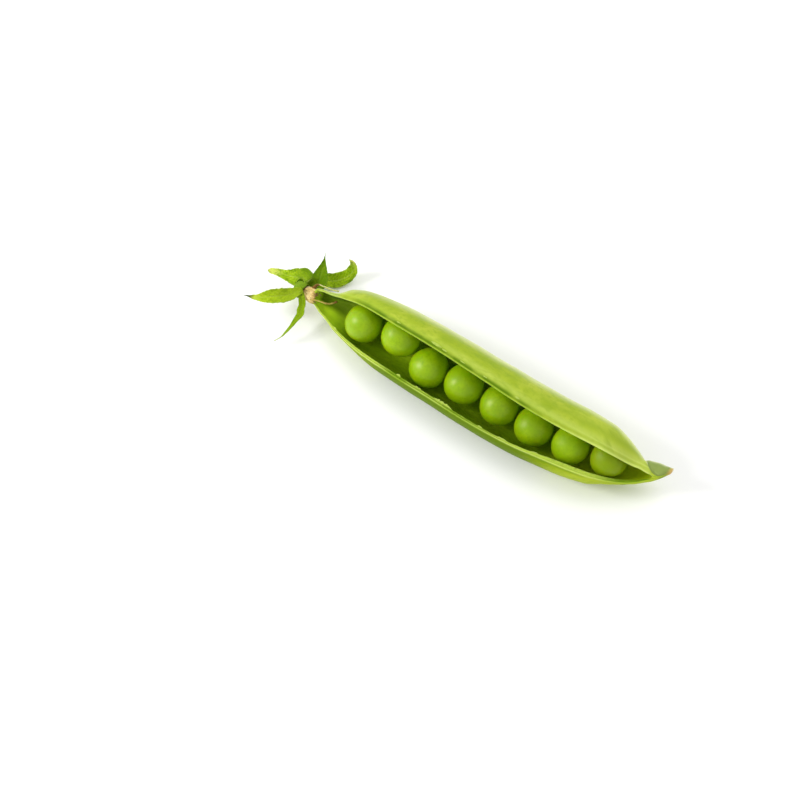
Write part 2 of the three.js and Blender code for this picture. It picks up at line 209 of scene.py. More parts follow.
def link(name, data):
    """An object that shows a mesh, lamp or camera in the scene."""
    thing = bpy.data.objects.new(name, data)
    bpy.context.collection.objects.link(thing)
    return thing


def build(name, points, faces, masks):
    """A smooth mesh object from points in metres, faces, and named values at each point."""
    mesh = bpy.data.meshes.new(name)
    mesh.from_pydata([tuple(p) for p in points], [], faces)
    mesh.validate()
    mesh.polygons.foreach_set("use_smooth", [True] * len(mesh.polygons))
    for key, values in masks.items():
        values = np.asarray(values, dtype=np.float32)
        kind, field = ("FLOAT", "value") if values.ndim == 1 else ("FLOAT_VECTOR", "vector")
        mesh.attributes.new(key, kind, "POINT").data.foreach_set(field, values.ravel())
    return link(name, mesh)


def wrap(rows, count, caps=True):
    """Faces that sew rows of closed loops together, with a cap at each end."""
    r = np.arange(rows - 1)[:, None]
    c = np.arange(count)[None, :]
    n = (c + 1) % count
    quads = np.stack([r * count + c, r * count + n, (r + 1) * count + n, (r + 1) * count + c], -1)
    faces = [tuple(int(i) for i in q) for q in quads.reshape(-1, 4)]
    if caps:
        faces.append(tuple(range(count))[BACK])
        faces.append(tuple((rows - 1) * count + i for i in range(count)))
    return faces


def outward(piece):
    """Turns every face of a closed piece the right way out."""
    bm = bmesh.new()
    bm.from_mesh(piece.data)
    bmesh.ops.recalc_face_normals(bm, faces=bm.faces)
    bm.to_mesh(piece.data)
    bm.free()


print("faces of a plain box of two rows:", len(wrap(2, 4)))

# %% [markdown]
# ## The wall of the pod
# On the real pod each valve is a thin springy sheet, thickest at its rim. We sweep one closed
# outline along the pod: over the outside of the upper valve, across its lip, down its inside to
# the back, up the inside of the lower valve, across that lip and home round the outside. The
# outline is drawn in the open shape, so one sweep gives a wall with a real thickness everywhere.
# Near the stalk and the beak the inside rises to meet the lips, which closes the hollow.

# %% One valve in cross section
def arc_turns(n):
    """Angles over a valve, from the back seam to the rim, a little closer together at both ends."""
    q = np.linspace(0, 1, n)
    return math.pi * (0.55 * q + 0.45 * (0.5 - 0.5 * np.cos(math.pi * q)))


def valve(x, which, inset, turns, inner=False):
    """Along and over the chord, and the way along the arc, for the upper (+1) or lower (-1) valve."""
    w = width_at(x)[:, None]
    b = (bulge_at(x) + (belly_at(x) if which < 0 else 0))[:, None]
    t = turns[None, :]
    along, over = w * (1 - np.cos(t)) / 2, b * np.sin(t)
    step = np.hypot(np.diff(along, axis=1), np.diff(over, axis=1))
    run = np.concatenate([np.zeros((len(x), 1)), np.cumsum(step, axis=1)], axis=1)
    nx, ny = -np.cos(t) * b, np.sin(t) * w / 2
    size = np.hypot(nx, ny)
    depth = inset(run, t, b)
    along, over = along - depth * nx / size, over - depth * ny / size
    if inner:  # the inside neither folds back on itself nor comes right up to the chord
        along = np.maximum.accumulate(along + 1e-4 * np.arange(along.shape[1]), axis=1)
        over = np.maximum(over, 0.03 + 0.08 * np.sin(t))
    return along, over, run


def in_section(x, which, along, over):
    """Fore and side of places that are given along and over a valve's chord."""
    a = np.radians(open_at(x))[:, None]
    fore = back_at(x)[:, None] + along * np.cos(a) - over * np.sin(a)
    side = side_at(x)[:, None] + which * (along * np.sin(a) + over * np.cos(a))
    return fore, side


wall_at = smooth_through([3.9, 4.3, 4.8, 12, 30, 70, 84, 94.2],
                         [1.3, 1.05, 0.9, 1.2, 1.2, 1.2, 1.0, 0.9])
# close rows at the neck and at the beak, even ones between them
rows_x = np.concatenate([np.linspace(0.5, 4.6, 24)[:-1], np.linspace(4.6, 90, 318)[:-1],
                         np.linspace(90, POD_END, 60)])
column_x = rows_x[:, None]
print("rows along the pod:", len(rows_x))

# %% [markdown]
# The skin outside has a story to tell: a fine bead along each rim with a groove beside it, and the
# faintest swelling over every pea. The lips were torn when the pod was opened, so the inner edge
# of each is ragged, with tufts where the tear wandered. All of this is real relief, because it
# catches the light along the whole length of the pod.

# %% Relief of the outer skin
# points over the outside, across the lip and over the inside of a valve
N_OUT, N_LIP, N_IN = 54, 15, 38
turns_out, turns_in = arc_turns(N_OUT), arc_turns(N_IN)


def fold_line(q):
    """Where the valve ends and the beak begins, from the seam (0) to the rim (1)."""
    return np.interp(q, [0, 0.5, 0.78, 0.88, 0.955, 1], [91.0, 91.1, 92.9, 93.9, 94.9, 96.1])


def upper_steps(fold_at, t, b):
    """The upper valve's swell near the stalk, its shoulder, and the crease and flap of the beak."""
    x = column_x
    beak = between(fold_at - 0.05, fold_at + 0.25, 95.5, 98.0, x)
    shoulder = 0.30 * between(68, 84, 88, 92.5, x) * (1 - beak) + 0.32 * hill(x, 15, 4.5)
    crease = 0.32 * hill(x - fold_at, 0.5, 0.45)
    flap = 0.12 * between(fold_at + 0.3, fold_at + 1.8, 95.5, 98.0, x)
    return crease * np.minimum(1, 0.4 * b) - (shoulder + flap) * np.sin(t)**2


def outside_relief(which):
    """How far the outer skin of a valve is moved in, at each place."""
    def inset(run, t, b):
        rim = run[:, -1:] - run
        bead = 0.05 * hill(rim, 0, 0.25)
        deep = (0.14 if which > 0 else 0.04) * (1 + 0.3 * drift(column_x, 4.0, 31 + which))
        groove = deep * hill(rim, 0.6, 0.30)
        swell = sum(0.05 * hill(column_x, p[0], 2.9) for p in PEAS) * np.sin(t)**2
        wander = 0.03 * drift(column_x, 6.0, 3 + which) * np.sin(t)**2
        crumble = 0.05 * drift(column_x, 0.9, 11 + which) * hill(rim, 0, 0.7)
        step = upper_steps(fold_line(run / run[:, -1:]), t, b) if which > 0 else 0
        fine = bead - groove + crumble + swell - 0.03 + wander
        return step - between(5, 10, 91, 94.5, column_x) * fine
    return inset


print("points over the outside of a valve:", N_OUT)

# %% Relief of the inside and the lips
# how broad the torn lip of each valve is
lip_width = {
    1: smooth_through([3, 10, 20, 34, 47, 62, 74, 84, 92],
                      [0.35, 0.5, 0.62, 0.72, 0.7, 0.75, 0.95, 0.9, 0.7]),
    -1: smooth_through([3, 9, 14, 20, 28, 37, 47, 60, 68, 77, 84, 92],
                       [0.4, 0.55, 0.62, 0.8, 0.92, 0.95, 0.82, 0.6, 0.9, 1.75, 1.65, 1.1]),
}


def lip_thickness(which, x):
    """The lip's width at a place, but never more than the valve has room for."""
    return np.minimum(lip_width[which](x), 0.75 * bulge_at(x))


def inside_relief(which):
    """The thickness of a valve at each place, with shallow hollows where the peas lay."""
    def inset(run, t, b):
        thinner = 0.45 + 0.55 * smoothstep(7, 38, column_x)
        wall = wall_at(column_x) * thinner
        wall = wall + (lip_width[which](column_x) - wall) * smoothstep(0.75, 1, t / math.pi)
        hollow = sum(0.10 * hill(column_x, p[0], 2.6) for p in PEAS) * np.sin(t)**2
        uneven = 0.05 * drift(column_x, 3.0, 41 + which) * np.sin(t)
        return np.minimum(wall - hollow + uneven, 0.75 * b)
    return inset


def lip_profile(which):
    """Along and over across the lip, from its outer to its inner edge, and how torn it is."""
    q = np.linspace(0, 1, N_LIP + 2)[None, 1:-1]
    ends = between(8, 26, 90, 94, column_x)
    rag = drift(column_x, 0.55, 21 + which)
    slow = drift(column_x, 2.6, 25 + which)
    tuft = np.clip(0.5 * rag + 0.8 * slow - 0.1, 0, 1) * (1.0 if which < 0 else 0.25)
    inner_edge = hill(q, 0.92, 0.14)
    over = -ends * (0.06 * hill(q, 0.12, 0.13) + (0.04 + 0.20 * tuft) * inner_edge
                    - 0.10 * hill(q, 0.38, 0.16))
    along = width_at(column_x) - q * lip_thickness(which, column_x)
    along = along + ends * inner_edge * (0.05 * rag + 0.12 * tuft)
    return along, over, tuft * ends


print("points round the outline:", 2 * (N_OUT + N_LIP + N_IN) - 2)

# %% [markdown]
# ## Sewing the wall together
# Each row of points is one outline at one place along the pod. Where the hollow ends we let the
# inside rise to the straight line between the two rims, so the same outline turns into a solid
# one without a break. The stalk end then narrows to the round neck that the calyx grips.

# %% The rows of outlines
NECK_FORE, NECK_SIDE = 4.9, -0.6
# what is held for the outside, the lip and the inside: fore and side of every point, and then
# the way from the seam and the gap to the rim, or for the lip how torn it is
FORE_LINE, SIDE_LINE, RUN, RIM_GAP = range(4)
TUFT = 2
half = {}
for which in (1, -1):
    along, over, run = valve(rows_x, which, outside_relief(which), turns_out)
    fore, side = in_section(rows_x, which, along, np.maximum(over, 0))
    ridge = 0.4 * np.minimum(1, width_at(column_x) / 9) * smoothstep(2.5, 6, column_x)
    outer = (fore - ridge * hill(run, 0, 0.5), side, run, run[:, -1:] - run)
    along, over, tuft = lip_profile(which)
    lip = in_section(rows_x, which, along, over) + (tuft,)
    along, over, run = valve(rows_x, which, inside_relief(which), turns_in, inner=True)
    inner = in_section(rows_x, which, along, np.maximum(over, 0)) + (run,)
    half[which] = (outer, lip, inner)

(up_out, up_lip, up_in), (low_out, low_lip, low_in) = half[1], half[-1]
EACH_LIP, EACH_IN = np.ones((len(rows_x), N_LIP)), np.ones((len(rows_x), N_IN))


def middle(lip_up, in_up, in_low, lip_low):
    """Upper lip, upper inside, lower inside and lower lip, in the order they are sewn."""
    return np.concatenate([lip_up * EACH_LIP, (in_up * EACH_IN)[:, BACK],
                           (in_low * EACH_IN)[:, 1:], (lip_low * EACH_LIP)[:, BACK]], axis=1)


def around(upper, between_rims, lower):
    """The whole outline: the upper outside, what lies between the rims, the lower outside."""
    return np.concatenate([upper + 0 * up_out[FORE_LINE], between_rims + middle(0, 0, 0, 0),
                           (lower + 0 * low_out[FORE_LINE])[:, 1:][:, BACK]], axis=1)


def closed_up(k):
    """The outline with the stretch between the rims drawn straight where there is no hollow."""
    mid = middle(up_lip[k], up_in[k], low_in[k], low_lip[k])
    share = (np.arange(mid.shape[1]) + 1) / (mid.shape[1] + 1)
    front = up_out[k][:, -1:] * (1 - share) + low_out[k][:, -1:] * share
    return around(up_out[k], mid * hollow + front * (1 - hollow), low_out[k])


hollow = between(3.2, 4.2, 93.6, 95.2, column_x)
loop_fore, loop_side = closed_up(FORE_LINE), closed_up(SIDE_LINE)
rows, count = loop_fore.shape
print("rows and points a row:", rows, count)

# %% Rounded corners, the neck and the resting flat
corner = np.zeros(count)
for c in (N_OUT, N_OUT + N_LIP, count - N_OUT - N_LIP + 1, count - N_OUT + 1):
    corner = np.maximum(corner, hill(np.arange(count), c, 2.2))


def softened(loop):
    """The outline with its four corners eased, in three passes."""
    for _ in range(3):
        loop = loop + 0.5 * corner * ((np.roll(loop, 1, 1) + np.roll(loop, -1, 1)) / 2 - loop)
    return loop


loop_fore, loop_side = softened(loop_fore), softened(loop_side)
first = int(np.argmin(np.abs(rows_x - 3.6)))
neck_turn = np.arctan2(loop_side[first] - NECK_SIDE, loop_fore[first] - NECK_FORE)
neck_r = np.interp(column_x, [0.5, 1.6, 2.8, 3.8], [0.8, 0.9, 1.1, 1.3])
body = smoothstep(2.4, 3.5, column_x)
loop_fore = loop_fore * body + (NECK_FORE + neck_r * np.cos(neck_turn)) * (1 - body)
loop_side = loop_side * body + (NECK_SIDE + neck_r * np.sin(neck_turn)) * (1 - body)

wall_points = to_scene(laid(column_x, loop_fore, loop_side))
wall_points[..., 2] = np.maximum(wall_points[..., 2], 0.0)  # the belly is flat where it lies
lowest, highest = wall_points[..., 2].min(), wall_points[..., 2].max()
print("lowest and highest point, mm:", round(1000 * lowest, 2), round(1000 * highest, 2))

# %% [markdown]
# The finishes will ask where they are on the pod, so we store named values on its points: where
# the skin lies (in millimetres, so that a pattern can follow the grain), how far inside, on which
# valve, on the lip or near the rim, how torn the lip is, and how far into the beak.

# %% Where each point lies
across_lip = np.linspace(0, 1, N_LIP + 2)[1:-1]
lip_run = 0.12 * np.arange(N_LIP)
# the way round the outline, with jumps, so that no pattern runs on from one stretch to the next
arc = around(up_out[RUN], middle(up_out[RUN][:, -1:] + lip_run, 40 + up_in[RUN], 60 + low_in[RUN],
                                 low_out[RUN][:, -1:] + lip_run + 80), 80 + low_out[RUN])
is_lip = middle(1, 0, 0, 1)
lip_mask = around(0, is_lip, 0)
in_mask = around(0, 1 - is_lip, 0) * hollow
out_mask = (1 - lip_mask) * (1 - in_mask)
rim_gap = around(up_out[RIM_GAP], 5 * (1 - is_lip), low_out[RIM_GAP])
lip_across = around(-1, middle(across_lip, 2, 2, across_lip), -1)
upper_side = around(1, middle(1, 1, 0, 0), 0)
lower_side = 1 - upper_side
mouth = hollow * smoothstep(3.6, 5, column_x)
torn_mask = around(0, middle(up_lip[TUFT], 0, 0, low_lip[TUFT]), 0) * smoothstep(0.6, 0.9, lip_across)
seam_mask = around(hill(up_out[RUN], 0, 0.5), 0, hill(low_out[RUN], 0, 0.5))
beak_up = smoothstep(-0.1, 0.4, column_x - fold_line(up_out[RUN] / up_out[RUN][:, -1:]))
beak_mask = around(beak_up, 0, 0.6 * smoothstep(95.5, 97, column_x))
print("share of points on the lips:", round(float(lip_mask.mean()), 2))

# %% [markdown]
# The rims are what the eye follows, so they get the most care. Beside the bead of the upper valve
# runs a groove that comes and goes, darkened with painted shade. Behind it lie a second pale line
# and a pale band, both painted highlight, and further up a strip of painted shade. Both lips have a
# fine furrow of their own, also darkened with painted shade. The lower one also has little dark
# ticks where it tore, and a line of painted shade under it near the beak. The hollow is darkened
# with painted shade where the stalk end closes over it.

# %% Lines along the rims
broad = smoothstep(66, 84, column_x) * upper_side
# The bead along each rim is pale skin; the second pale line 1.35 mm from the upper rim is a painted
# highlight.
bead_and_highlight_mask = hill(rim_gap, 0, 0.32 - 0.12 * upper_side + 0.45 * broad)
bead_and_highlight_mask = (bead_and_highlight_mask + 0.4 * hill(rim_gap, 1.35, 0.2) * upper_side) * (1 - lip_mask) * mouth
# Painted highlight: a pale band along the upper valve, a little behind its rim.
band_mask = hill(rim_gap, 1.75, 0.95) * upper_side * out_mask * mouth
# Painted shade: the upper valve darker over its middle, away from the rim.
valley_mask = (hill(rim_gap, 4.1, 1.2) * upper_side * out_mask
               * (0.35 + 0.65 * between(58, 72, 90, 94, column_x)))
# The pale inner edge of each lip is torn skin with a painted highlight along it.
edge_mask = smoothstep(0.72, 0.95, lip_across) * lip_mask * mouth

patchy = np.clip(1.0 + 0.5 * drift(column_x, 3.1, 51), 0.45, 1.1)
patchy = patchy * (0.15 + 0.85 * between(11, 22, 60, 70, column_x))
# Painted shade: dark colour in the groove beside the bead, in the lip furrows and in a line under the
# lower lip near the beak; the ticks are dark marks where the lip tore.
from_groove = rim_gap - 0.6
beside_bead = np.where(from_groove < 0, np.exp(-(from_groove / 0.36)**4), hill(from_groove, 0, 0.5))
beside_bead = beside_bead * out_mask * patchy * (0.2 + 0.8 * upper_side)
furrow = 0.6 * hill(lip_across, 0.36, 0.15) * lip_mask * between(14, 34, 58, 72, column_x)
under_lip = hill(rim_gap, 0.55, 0.35) * out_mask * between(62, 70, 79, 85, column_x) * lower_side
ticks = np.clip(0.9 * drift(column_x, 0.5, 55) - 0.1, 0, 1) * lower_side * lip_mask
ticks = ticks * smoothstep(0.35, 0.7, lip_across) * between(20, 40, 88, 92, column_x)
groove_shade_and_ticks_mask = (beside_bead + furrow) * mouth + 0.50 * under_lip + 0.4 * ticks
groove_shade_and_ticks_mask = np.clip(groove_shade_and_ticks_mask, 0, 1)

# Painted shade: the hollow darkened deep inside by the stalk, where the closed end shades it.
deep_in = 1 - smoothstep(0.22, 0.55, low_in[RUN] / low_in[RUN][:, -1:])
gloom_mask = around(0, middle(0, 1, deep_in, 0), 0)
gloom_mask = gloom_mask * (1 - smoothstep(10, 17, column_x)) * smoothstep(3.6, 4.6, column_x)
wall_masks = {"inside": in_mask, "lip": lip_mask, "bead": bead_and_highlight_mask, "groove": groove_shade_and_ticks_mask,
              "torn": torn_mask, "seam": seam_mask, "edge": edge_mask, "beak": beak_mask,
              "band": band_mask, "upper": upper_side, "gloom": gloom_mask, "valley": valley_mask}
wall_masks = {key: mask.ravel() for key, mask in wall_masks.items()}
wall_masks["skin"] = np.stack([column_x + 0 * arc, arc, 0 * arc], -1).reshape(-1, 3)
print("named values:", sorted(wall_masks))

# %% [markdown]
# ## The short stalks and the torn flakes
# Behind every pea a short stalk ties it to the back seam. It can only be seen from close by, but
# without it the peas would float. A tapering tube that flares where it leaves the wall is enough.
# The flakes are thin slips of skin that came loose along the lips. Each one is a closed sheet
# about a tenth of a millimetre thick that rises from the lip and curls over.

# %% Tubes, sheets and piles of pieces
def unit(vectors):
    """The same directions, each with length 1."""
    return vectors / np.linalg.norm(vectors, axis=1)[:, None]


def tube(path, radii, sides=16, flat=1.0):
    """Points and faces of a closed tube along a path of points in millimetres (already laid)."""
    ahead = unit(np.gradient(path, axis=0))
    side = unit(np.cross(ahead, np.array([0.31, 0.22, 0.92])))
    up = np.cross(side, ahead)
    turn = np.linspace(0, 2 * math.pi, sides, endpoint=False)[None, :, None]
    ring = side[:, None] * np.cos(turn) + flat * up[:, None] * np.sin(turn)
    points = path[:, None] + ring * np.asarray(radii, float)[:, None, None]
    return points.reshape(-1, 3), wrap(len(path), sides)


def sheet_between(top, bottom):
    """Points and faces of a closed thin sheet from matching rows on its two faces."""
    points = np.concatenate([top, bottom[:, BACK]], axis=1)
    return points.reshape(-1, 3), wrap(len(top), 2 * top.shape[1])


class Pile:
    """Collects closed pieces that grew as one, with their named values, into one mesh."""

    def __init__(self, directions, numbers):
        self.points, self.faces, self.total = [], [], 0
        self.masks = {key: [] for key in directions + numbers}
        self.directions = directions

    def add(self, points, faces, **masks):
        """Adds one piece from points in metres. A value that isn't given is 0."""
        self.points.append(points)
        self.faces += [tuple(i + self.total for i in f) for f in faces]
        for key, store in self.masks.items():
            zero = np.zeros((len(points), 3) if key in self.directions else len(points))
            store.append(np.asarray(masks.get(key, 0), float) + zero)
        self.total += len(points)

    def finish(self, name):
        """The pile as one piece, with every face outward."""
        masks = {k: np.concatenate(v) for k, v in self.masks.items()}
        piece = build(name, np.concatenate(self.points), self.faces, masks)
        outward(piece)
        return piece


wall = Pile(["skin"], [key for key in wall_masks if key != "skin"] + ["slip"])
wall.add(wall_points.reshape(-1, 3), wrap(rows, count), **wall_masks)
print("points of the bare wall:", wall.total)

# %% A stalk behind every pea
GAP = 0.35  # how far behind a pea its stalk ends
for n, (x, fore, side, radius) in enumerate(PEAS):
    start, end = float(back_at(x)) + 0.8, fore - radius - GAP
    if end < start + 0.3:  # no room for a stalk
        continue
    q = np.linspace(0, 1, 9)
    path = laid(x + 0 * q, start + (end - start) * q, side_at(x) + 0.5 * q * (side - side_at(x)))
    points, faces = tube(path, 0.62 - 0.22 * smoothstep(0, 0.5, q) + 0.12 * smoothstep(0.7, 1, q))
    wall.add(to_scene(points), faces, inside=1, skin=points)
print("points with the stalks:", wall.total)

# %% Torn slips along the lips
def slip(which, x, length, rise, curl, across, seed):
    """One torn slip of skin that stands on the lip."""
    t = np.linspace(0, 1, 26)
    s = np.linspace(0, 1, 9)[None, :]
    xs = x + length * (t[:, None] - 0.5)
    open_angle = np.radians(open_at(xs))
    cos, sin = np.cos(open_angle), which * np.sin(open_angle)
    along = width_at(xs) - across * lip_thickness(which, xs)
    envelope = np.sin(math.pi * t[:, None])**0.7 * (1 + 0.35 * drift(xs, 0.5, seed))
    height, lean_in = rise * envelope * s, curl * envelope * s**2
    fore = back_at(xs) + along * cos + which * sin * height - cos * lean_in
    side = side_at(xs) + along * sin - which * cos * height - sin * lean_in
    ends = np.sin(math.pi * np.clip(t[:, None], 0.02, 0.98))**0.5
    half_thick = 0.07 * (1.15 - s) * ends + 0.012
    points, faces = sheet_between(laid(xs, fore + cos * half_thick, side + sin * half_thick),
                                  laid(xs, fore - cos * half_thick, side - sin * half_thick))
    wall.add(to_scene(points), faces, slip=1, lip=1, skin=points)


SLIPS = [
    # which valve, place, length, rise, curl, across the lip
    (-1, 45.2, 5.2, 0.34, 0.30, 0.90), (-1, 32.6, 1.3, 0.34, 0.25, 0.90),
    (-1, 61.5, 2.4, 0.18, 0.20, 0.92), (-1, 38.2, 1.8, 0.20, 0.15, 0.88),
    (-1, 69.6, 1.9, 0.14, 0.20, 0.92), (-1, 12.4, 1.2, 0.20, 0.10, 0.75),
    (-1, 55.6, 1.2, 0.14, 0.25, 0.90),
]
for n, torn in enumerate(SLIPS):
    slip(*torn, seed=60 + n)
print("slips on the lower lip:", len(SLIPS))

# %% Crumbs beside the upper rim
def crumb(x, rim, length, width, lift, seed):
    """A pale crumb of torn skin that lies on the upper valve's outside, just off the rim."""
    fore_line, side_line, _, gap = up_out
    t = np.linspace(0, 1, 22)
    s = np.linspace(-1, 1, 11)[None, :]
    xs = x + length * (t - 0.5)
    wide = width * np.sin(math.pi * np.clip(t, 0.03, 0.97))**0.6 * (1 + 0.3 * drift(xs, 0.35, seed))
    at = rim + wide[:, None] * s / 2
    nearest = [int(np.argmin(np.abs(rows_x - v))) for v in xs]
    fore, side = [np.array([np.interp(a, gap[i, BACK], line[i, BACK]) for i, a in zip(nearest, at)])
                  for line in (fore_line, side_line)]
    out_fore, out_side = np.gradient(side, axis=1), -np.gradient(fore, axis=1)
    size = np.hypot(out_fore, out_side)
    out_fore, out_side = out_fore / size, out_side / size
    dome = (1 - s**2) * np.sin(math.pi * np.clip(t, 0.03, 0.97))[:, None]
    spots = np.stack([xs[:, None] + 0 * at, at, 0 * at], -1)
    out = lift * dome * (1 + 0.5 * ripple(spots, 0.3, seed))
    points, faces = sheet_between(
        laid(xs[:, None], fore + out * out_fore, side + out * out_side),
        laid(xs[:, None], fore - 0.05 * out_fore, side - 0.05 * out_side))
    wall.add(to_scene(points), faces, slip=1, skin=points)


CRUMBS = [
    # place, distance from the rim, length, width, lift
    (38.6, 1.10, 2.8, 0.62, 0.24), (40.9, 0.95, 1.4, 0.35, 0.16), (61.2, 1.05, 1.2, 0.40, 0.18),
    (52.3, 0.95, 1.1, 0.25, 0.10), (27.9, 0.95, 1.2, 0.25, 0.10), (46.0, 0.95, 1.4, 0.22, 0.08),
]
for n, torn in enumerate(CRUMBS):
    crumb(*torn, seed=90 + n)

pod_wall = wall.finish("pod_wall_skin")
print("pod wall:", len(pod_wall.data.vertices), "points,", len(pod_wall.data.polygons), "faces")

# %% [markdown]
# ## The peas
# A pea is nearly a ball, but never quite: it is pressed a little flat by its neighbours and has
# soft dents where the seed leaves inside meet. We start from an icosphere, because its triangles
# are even all over and show no poles, and then move its points. Each pea is turned its own way,
# so the dents never line up. Each also has its own measure of how far it is stretched along the
# row, how olive its green is and how dull its coat has grown.

# %% Eight peas
# for each pea: millimetres longer along the row, and from 0 to 1 how olive and how dull it is
LONGER = [0.1, 0.45, 0.1, 0.35, 0.2, 0.35, 0.15, 0.45]
OLIVE = [0.15, 0.05, 0.0, 0.05, 0.15, 0.2, 0.15, 0.9]
DULL = [0.2, 0.3, 0.2, 0.2, 0.2, 0.5, 0.9, 1.0]
STALK_SIDE = np.array([0, 0.788, -0.616])

bm = bmesh.new()
bmesh.ops.create_icosphere(bm, subdivisions=5, radius=1.0)
bm.verts.index_update()
BALL = np.array([v.co[:] for v in bm.verts])
BALL_FACES = [tuple(v.index for v in f.verts) for f in bm.faces]
bm.free()


def pea_body(number, centre, radius):
    """One pea: a dented ball, flatter towards its neighbours, with a scar towards its stalk."""
    uneven = ripple(BALL, 0.9, number) * 0.012 + ripple(BALL, 0.4, number + 5) * 0.004
    shape = BALL * (1 + uneven)[:, None]
    shape[:, 0] *= 1 - 0.045 * BALL[:, 0]**2
    shape[:, 0] += LONGER[number - 1] / radius * np.clip(BALL[:, 0], 0, 1)**2
    own = BALL @ np.array(Matrix.Rotation(number * 1.9, 3, Vector((0.3, 0.5, 1)).normalized()))
    dent = hill(own[:, 1] + 0.1 * own[:, 0], 0, 0.10) * hill(own[:, 2], 0.95, 0.5)
    scar = np.exp(-((BALL - STALK_SIDE)**2).sum(1) / 0.03)
    shape *= ((1 - 0.012 * dent) * (1 - 0.03 * scar))[:, None]
    return build(f"pea_seed_{number}", to_scene(laid(*centre)) + MM * radius * shape, BALL_FACES,
                 {"skin": own * radius + number * 11, "scar": scar,
                  "olive": 0 * scar + OLIVE[number - 1], "dull": 0 * scar + DULL[number - 1]})


pea_pieces = []
for n, (x, fore, side, radius) in enumerate(PEAS):
    pea_pieces.append(pea_body(n + 1, (x, fore, side), 1.03 * radius))
    print("pea", n + 1, "box mm", [round(1000 * d, 2) for d in pea_pieces[-1].dimensions])

# %% [markdown]
# ## The calyx
# The calyx is the green cup that held the flower. Its five sepals dry out first, so they curl,
# twist and turn brown at the tips. Each is a leaf about a third of a millimetre thick at its foot.
# We lay it along a curve with its own width and its own way of facing at every step, let the
# edges rise a little over the middle, wave them, and press a fine groove down the midrib.

# %% A curve through points
def smooth_path(points, n):
    """Points spread evenly along a smooth curve through places given in the pod's directions."""
    p = np.array([laid(*place) for place in points])
    p = np.vstack([2 * p[0] - p[1], p, 2 * p[-1] - p[-2]])
    out = []
    for i in range(1, len(p) - 2):
        step = np.diff(p[i - 1:i + 3], axis=0)
        d = np.maximum((step**2).sum(1)**0.25, 1e-6)
        leaving = step[0] / d[0] - (step[0] + step[1]) / (d[0] + d[1]) + step[1] / d[1]
        arriving = step[1] / d[1] - (step[1] + step[2]) / (d[1] + d[2]) + step[2] / d[2]
        t = np.linspace(0, 1, 60, endpoint=False)[:, None]
        out.append(cubic(t, p[i], p[i + 1], leaving * d[1], arriving * d[1]))
    out = np.vstack(out + [p[-2][None]])
    run = np.concatenate([[0], np.cumsum(np.linalg.norm(np.diff(out, axis=0), axis=1))])
    at = np.linspace(0, run[-1], n)
    return np.stack([np.interp(at, run, out[:, k]) for k in range(3)], -1), float(run[-1])


def square_to(ahead, face):
    """The part of a direction that stands square on the way ahead."""
    return unit(face - ahead * (face * ahead).sum(1)[:, None])


print("length of a straight test line, mm:", round(smooth_path([(0, 0, 0), (5, 0, 0)], 9)[1], 3))

# %% Five sepals
STEPS, ACROSS = 72, 26
# each part's kind: 1 to 5 for the sepals, 6 for the cup, 7 for the stub
calyx_parts = Pile(["leaf"], ["across", "along", "dry", "stalk", "kind"])


def both_faces(values):
    """Values of one face of a leaf, for the points of its two faces."""
    return np.concatenate([values, values[:, BACK]], axis=1).reshape(-1, *values.shape[2:])


def sepal(kind, spine, width, face_from, face_to, cup, wave, tip_from, tip_dry, bend=0.4):
    """One sepal: a thin waved leaf from the cup to a pointed tip."""
    path, length = smooth_path(spine, STEPS)
    t = np.linspace(0, 1, STEPS)
    ahead = unit(np.gradient(path, axis=0))
    own = unit(np.outer(1 - t, pod_vector(face_from)) + np.outer(t, pod_vector(face_to)))
    turn = smoothstep(0.1 * bend, bend, t)[:, None]
    up = square_to(ahead, pod_vector((1, 0, 0)) * (1 - turn) + own * turn)
    right = np.cross(ahead, up)

    t, s = t[:, None], np.linspace(-1, 1, ACROSS)[None, :]
    far = t * length
    wide = smooth_through([w[0] for w in width], [w[1] for w in width])(t)
    ragged = 1 + 0.05 * drift(far, 0.9, 70 + kind) + 0.03 * drift(far, 0.35, 75 + kind)
    off_middle = s * wide * (1 - 0.86 * smoothstep(tip_from, 1.0, t)) * ragged / 2
    sway = drift(far, 2.1, 80 + kind) * s**2 + 0.8 * drift(far, 1.5, 85 + kind) * s * np.abs(s)
    grid = 0 * off_middle
    spots = np.stack([off_middle, far + grid, grid], -1)
    rise = cup * wide * s**2 + wave * sway + 0.035 * ripple(spots, 0.7, 90 + kind)
    midrib = hill(s, 0, 0.10) * (1 - 0.8 * t)
    veins = 0.02 * np.sin(s * 14) * (1 - s**2) * np.sin(math.pi * t)
    thick = (0.16 - 0.09 * s**4) * (1 - 0.55 * t)
    middle_line = path[:, None] + right[:, None] * off_middle[..., None]
    points, faces = sheet_between(
        middle_line + up[:, None] * (rise + thick - 0.10 * midrib + veins)[..., None],
        middle_line + up[:, None] * (rise - thick - 0.12 * midrib + veins)[..., None])
    spots[..., 2] = 10 * kind
    calyx_parts.add(to_scene(points), faces, leaf=both_faces(spots), across=both_faces(s + grid),
                    along=both_faces(t + grid), dry=both_faces(smoothstep(tip_dry, 1.0, t) + grid),
                    kind=kind)
    return length


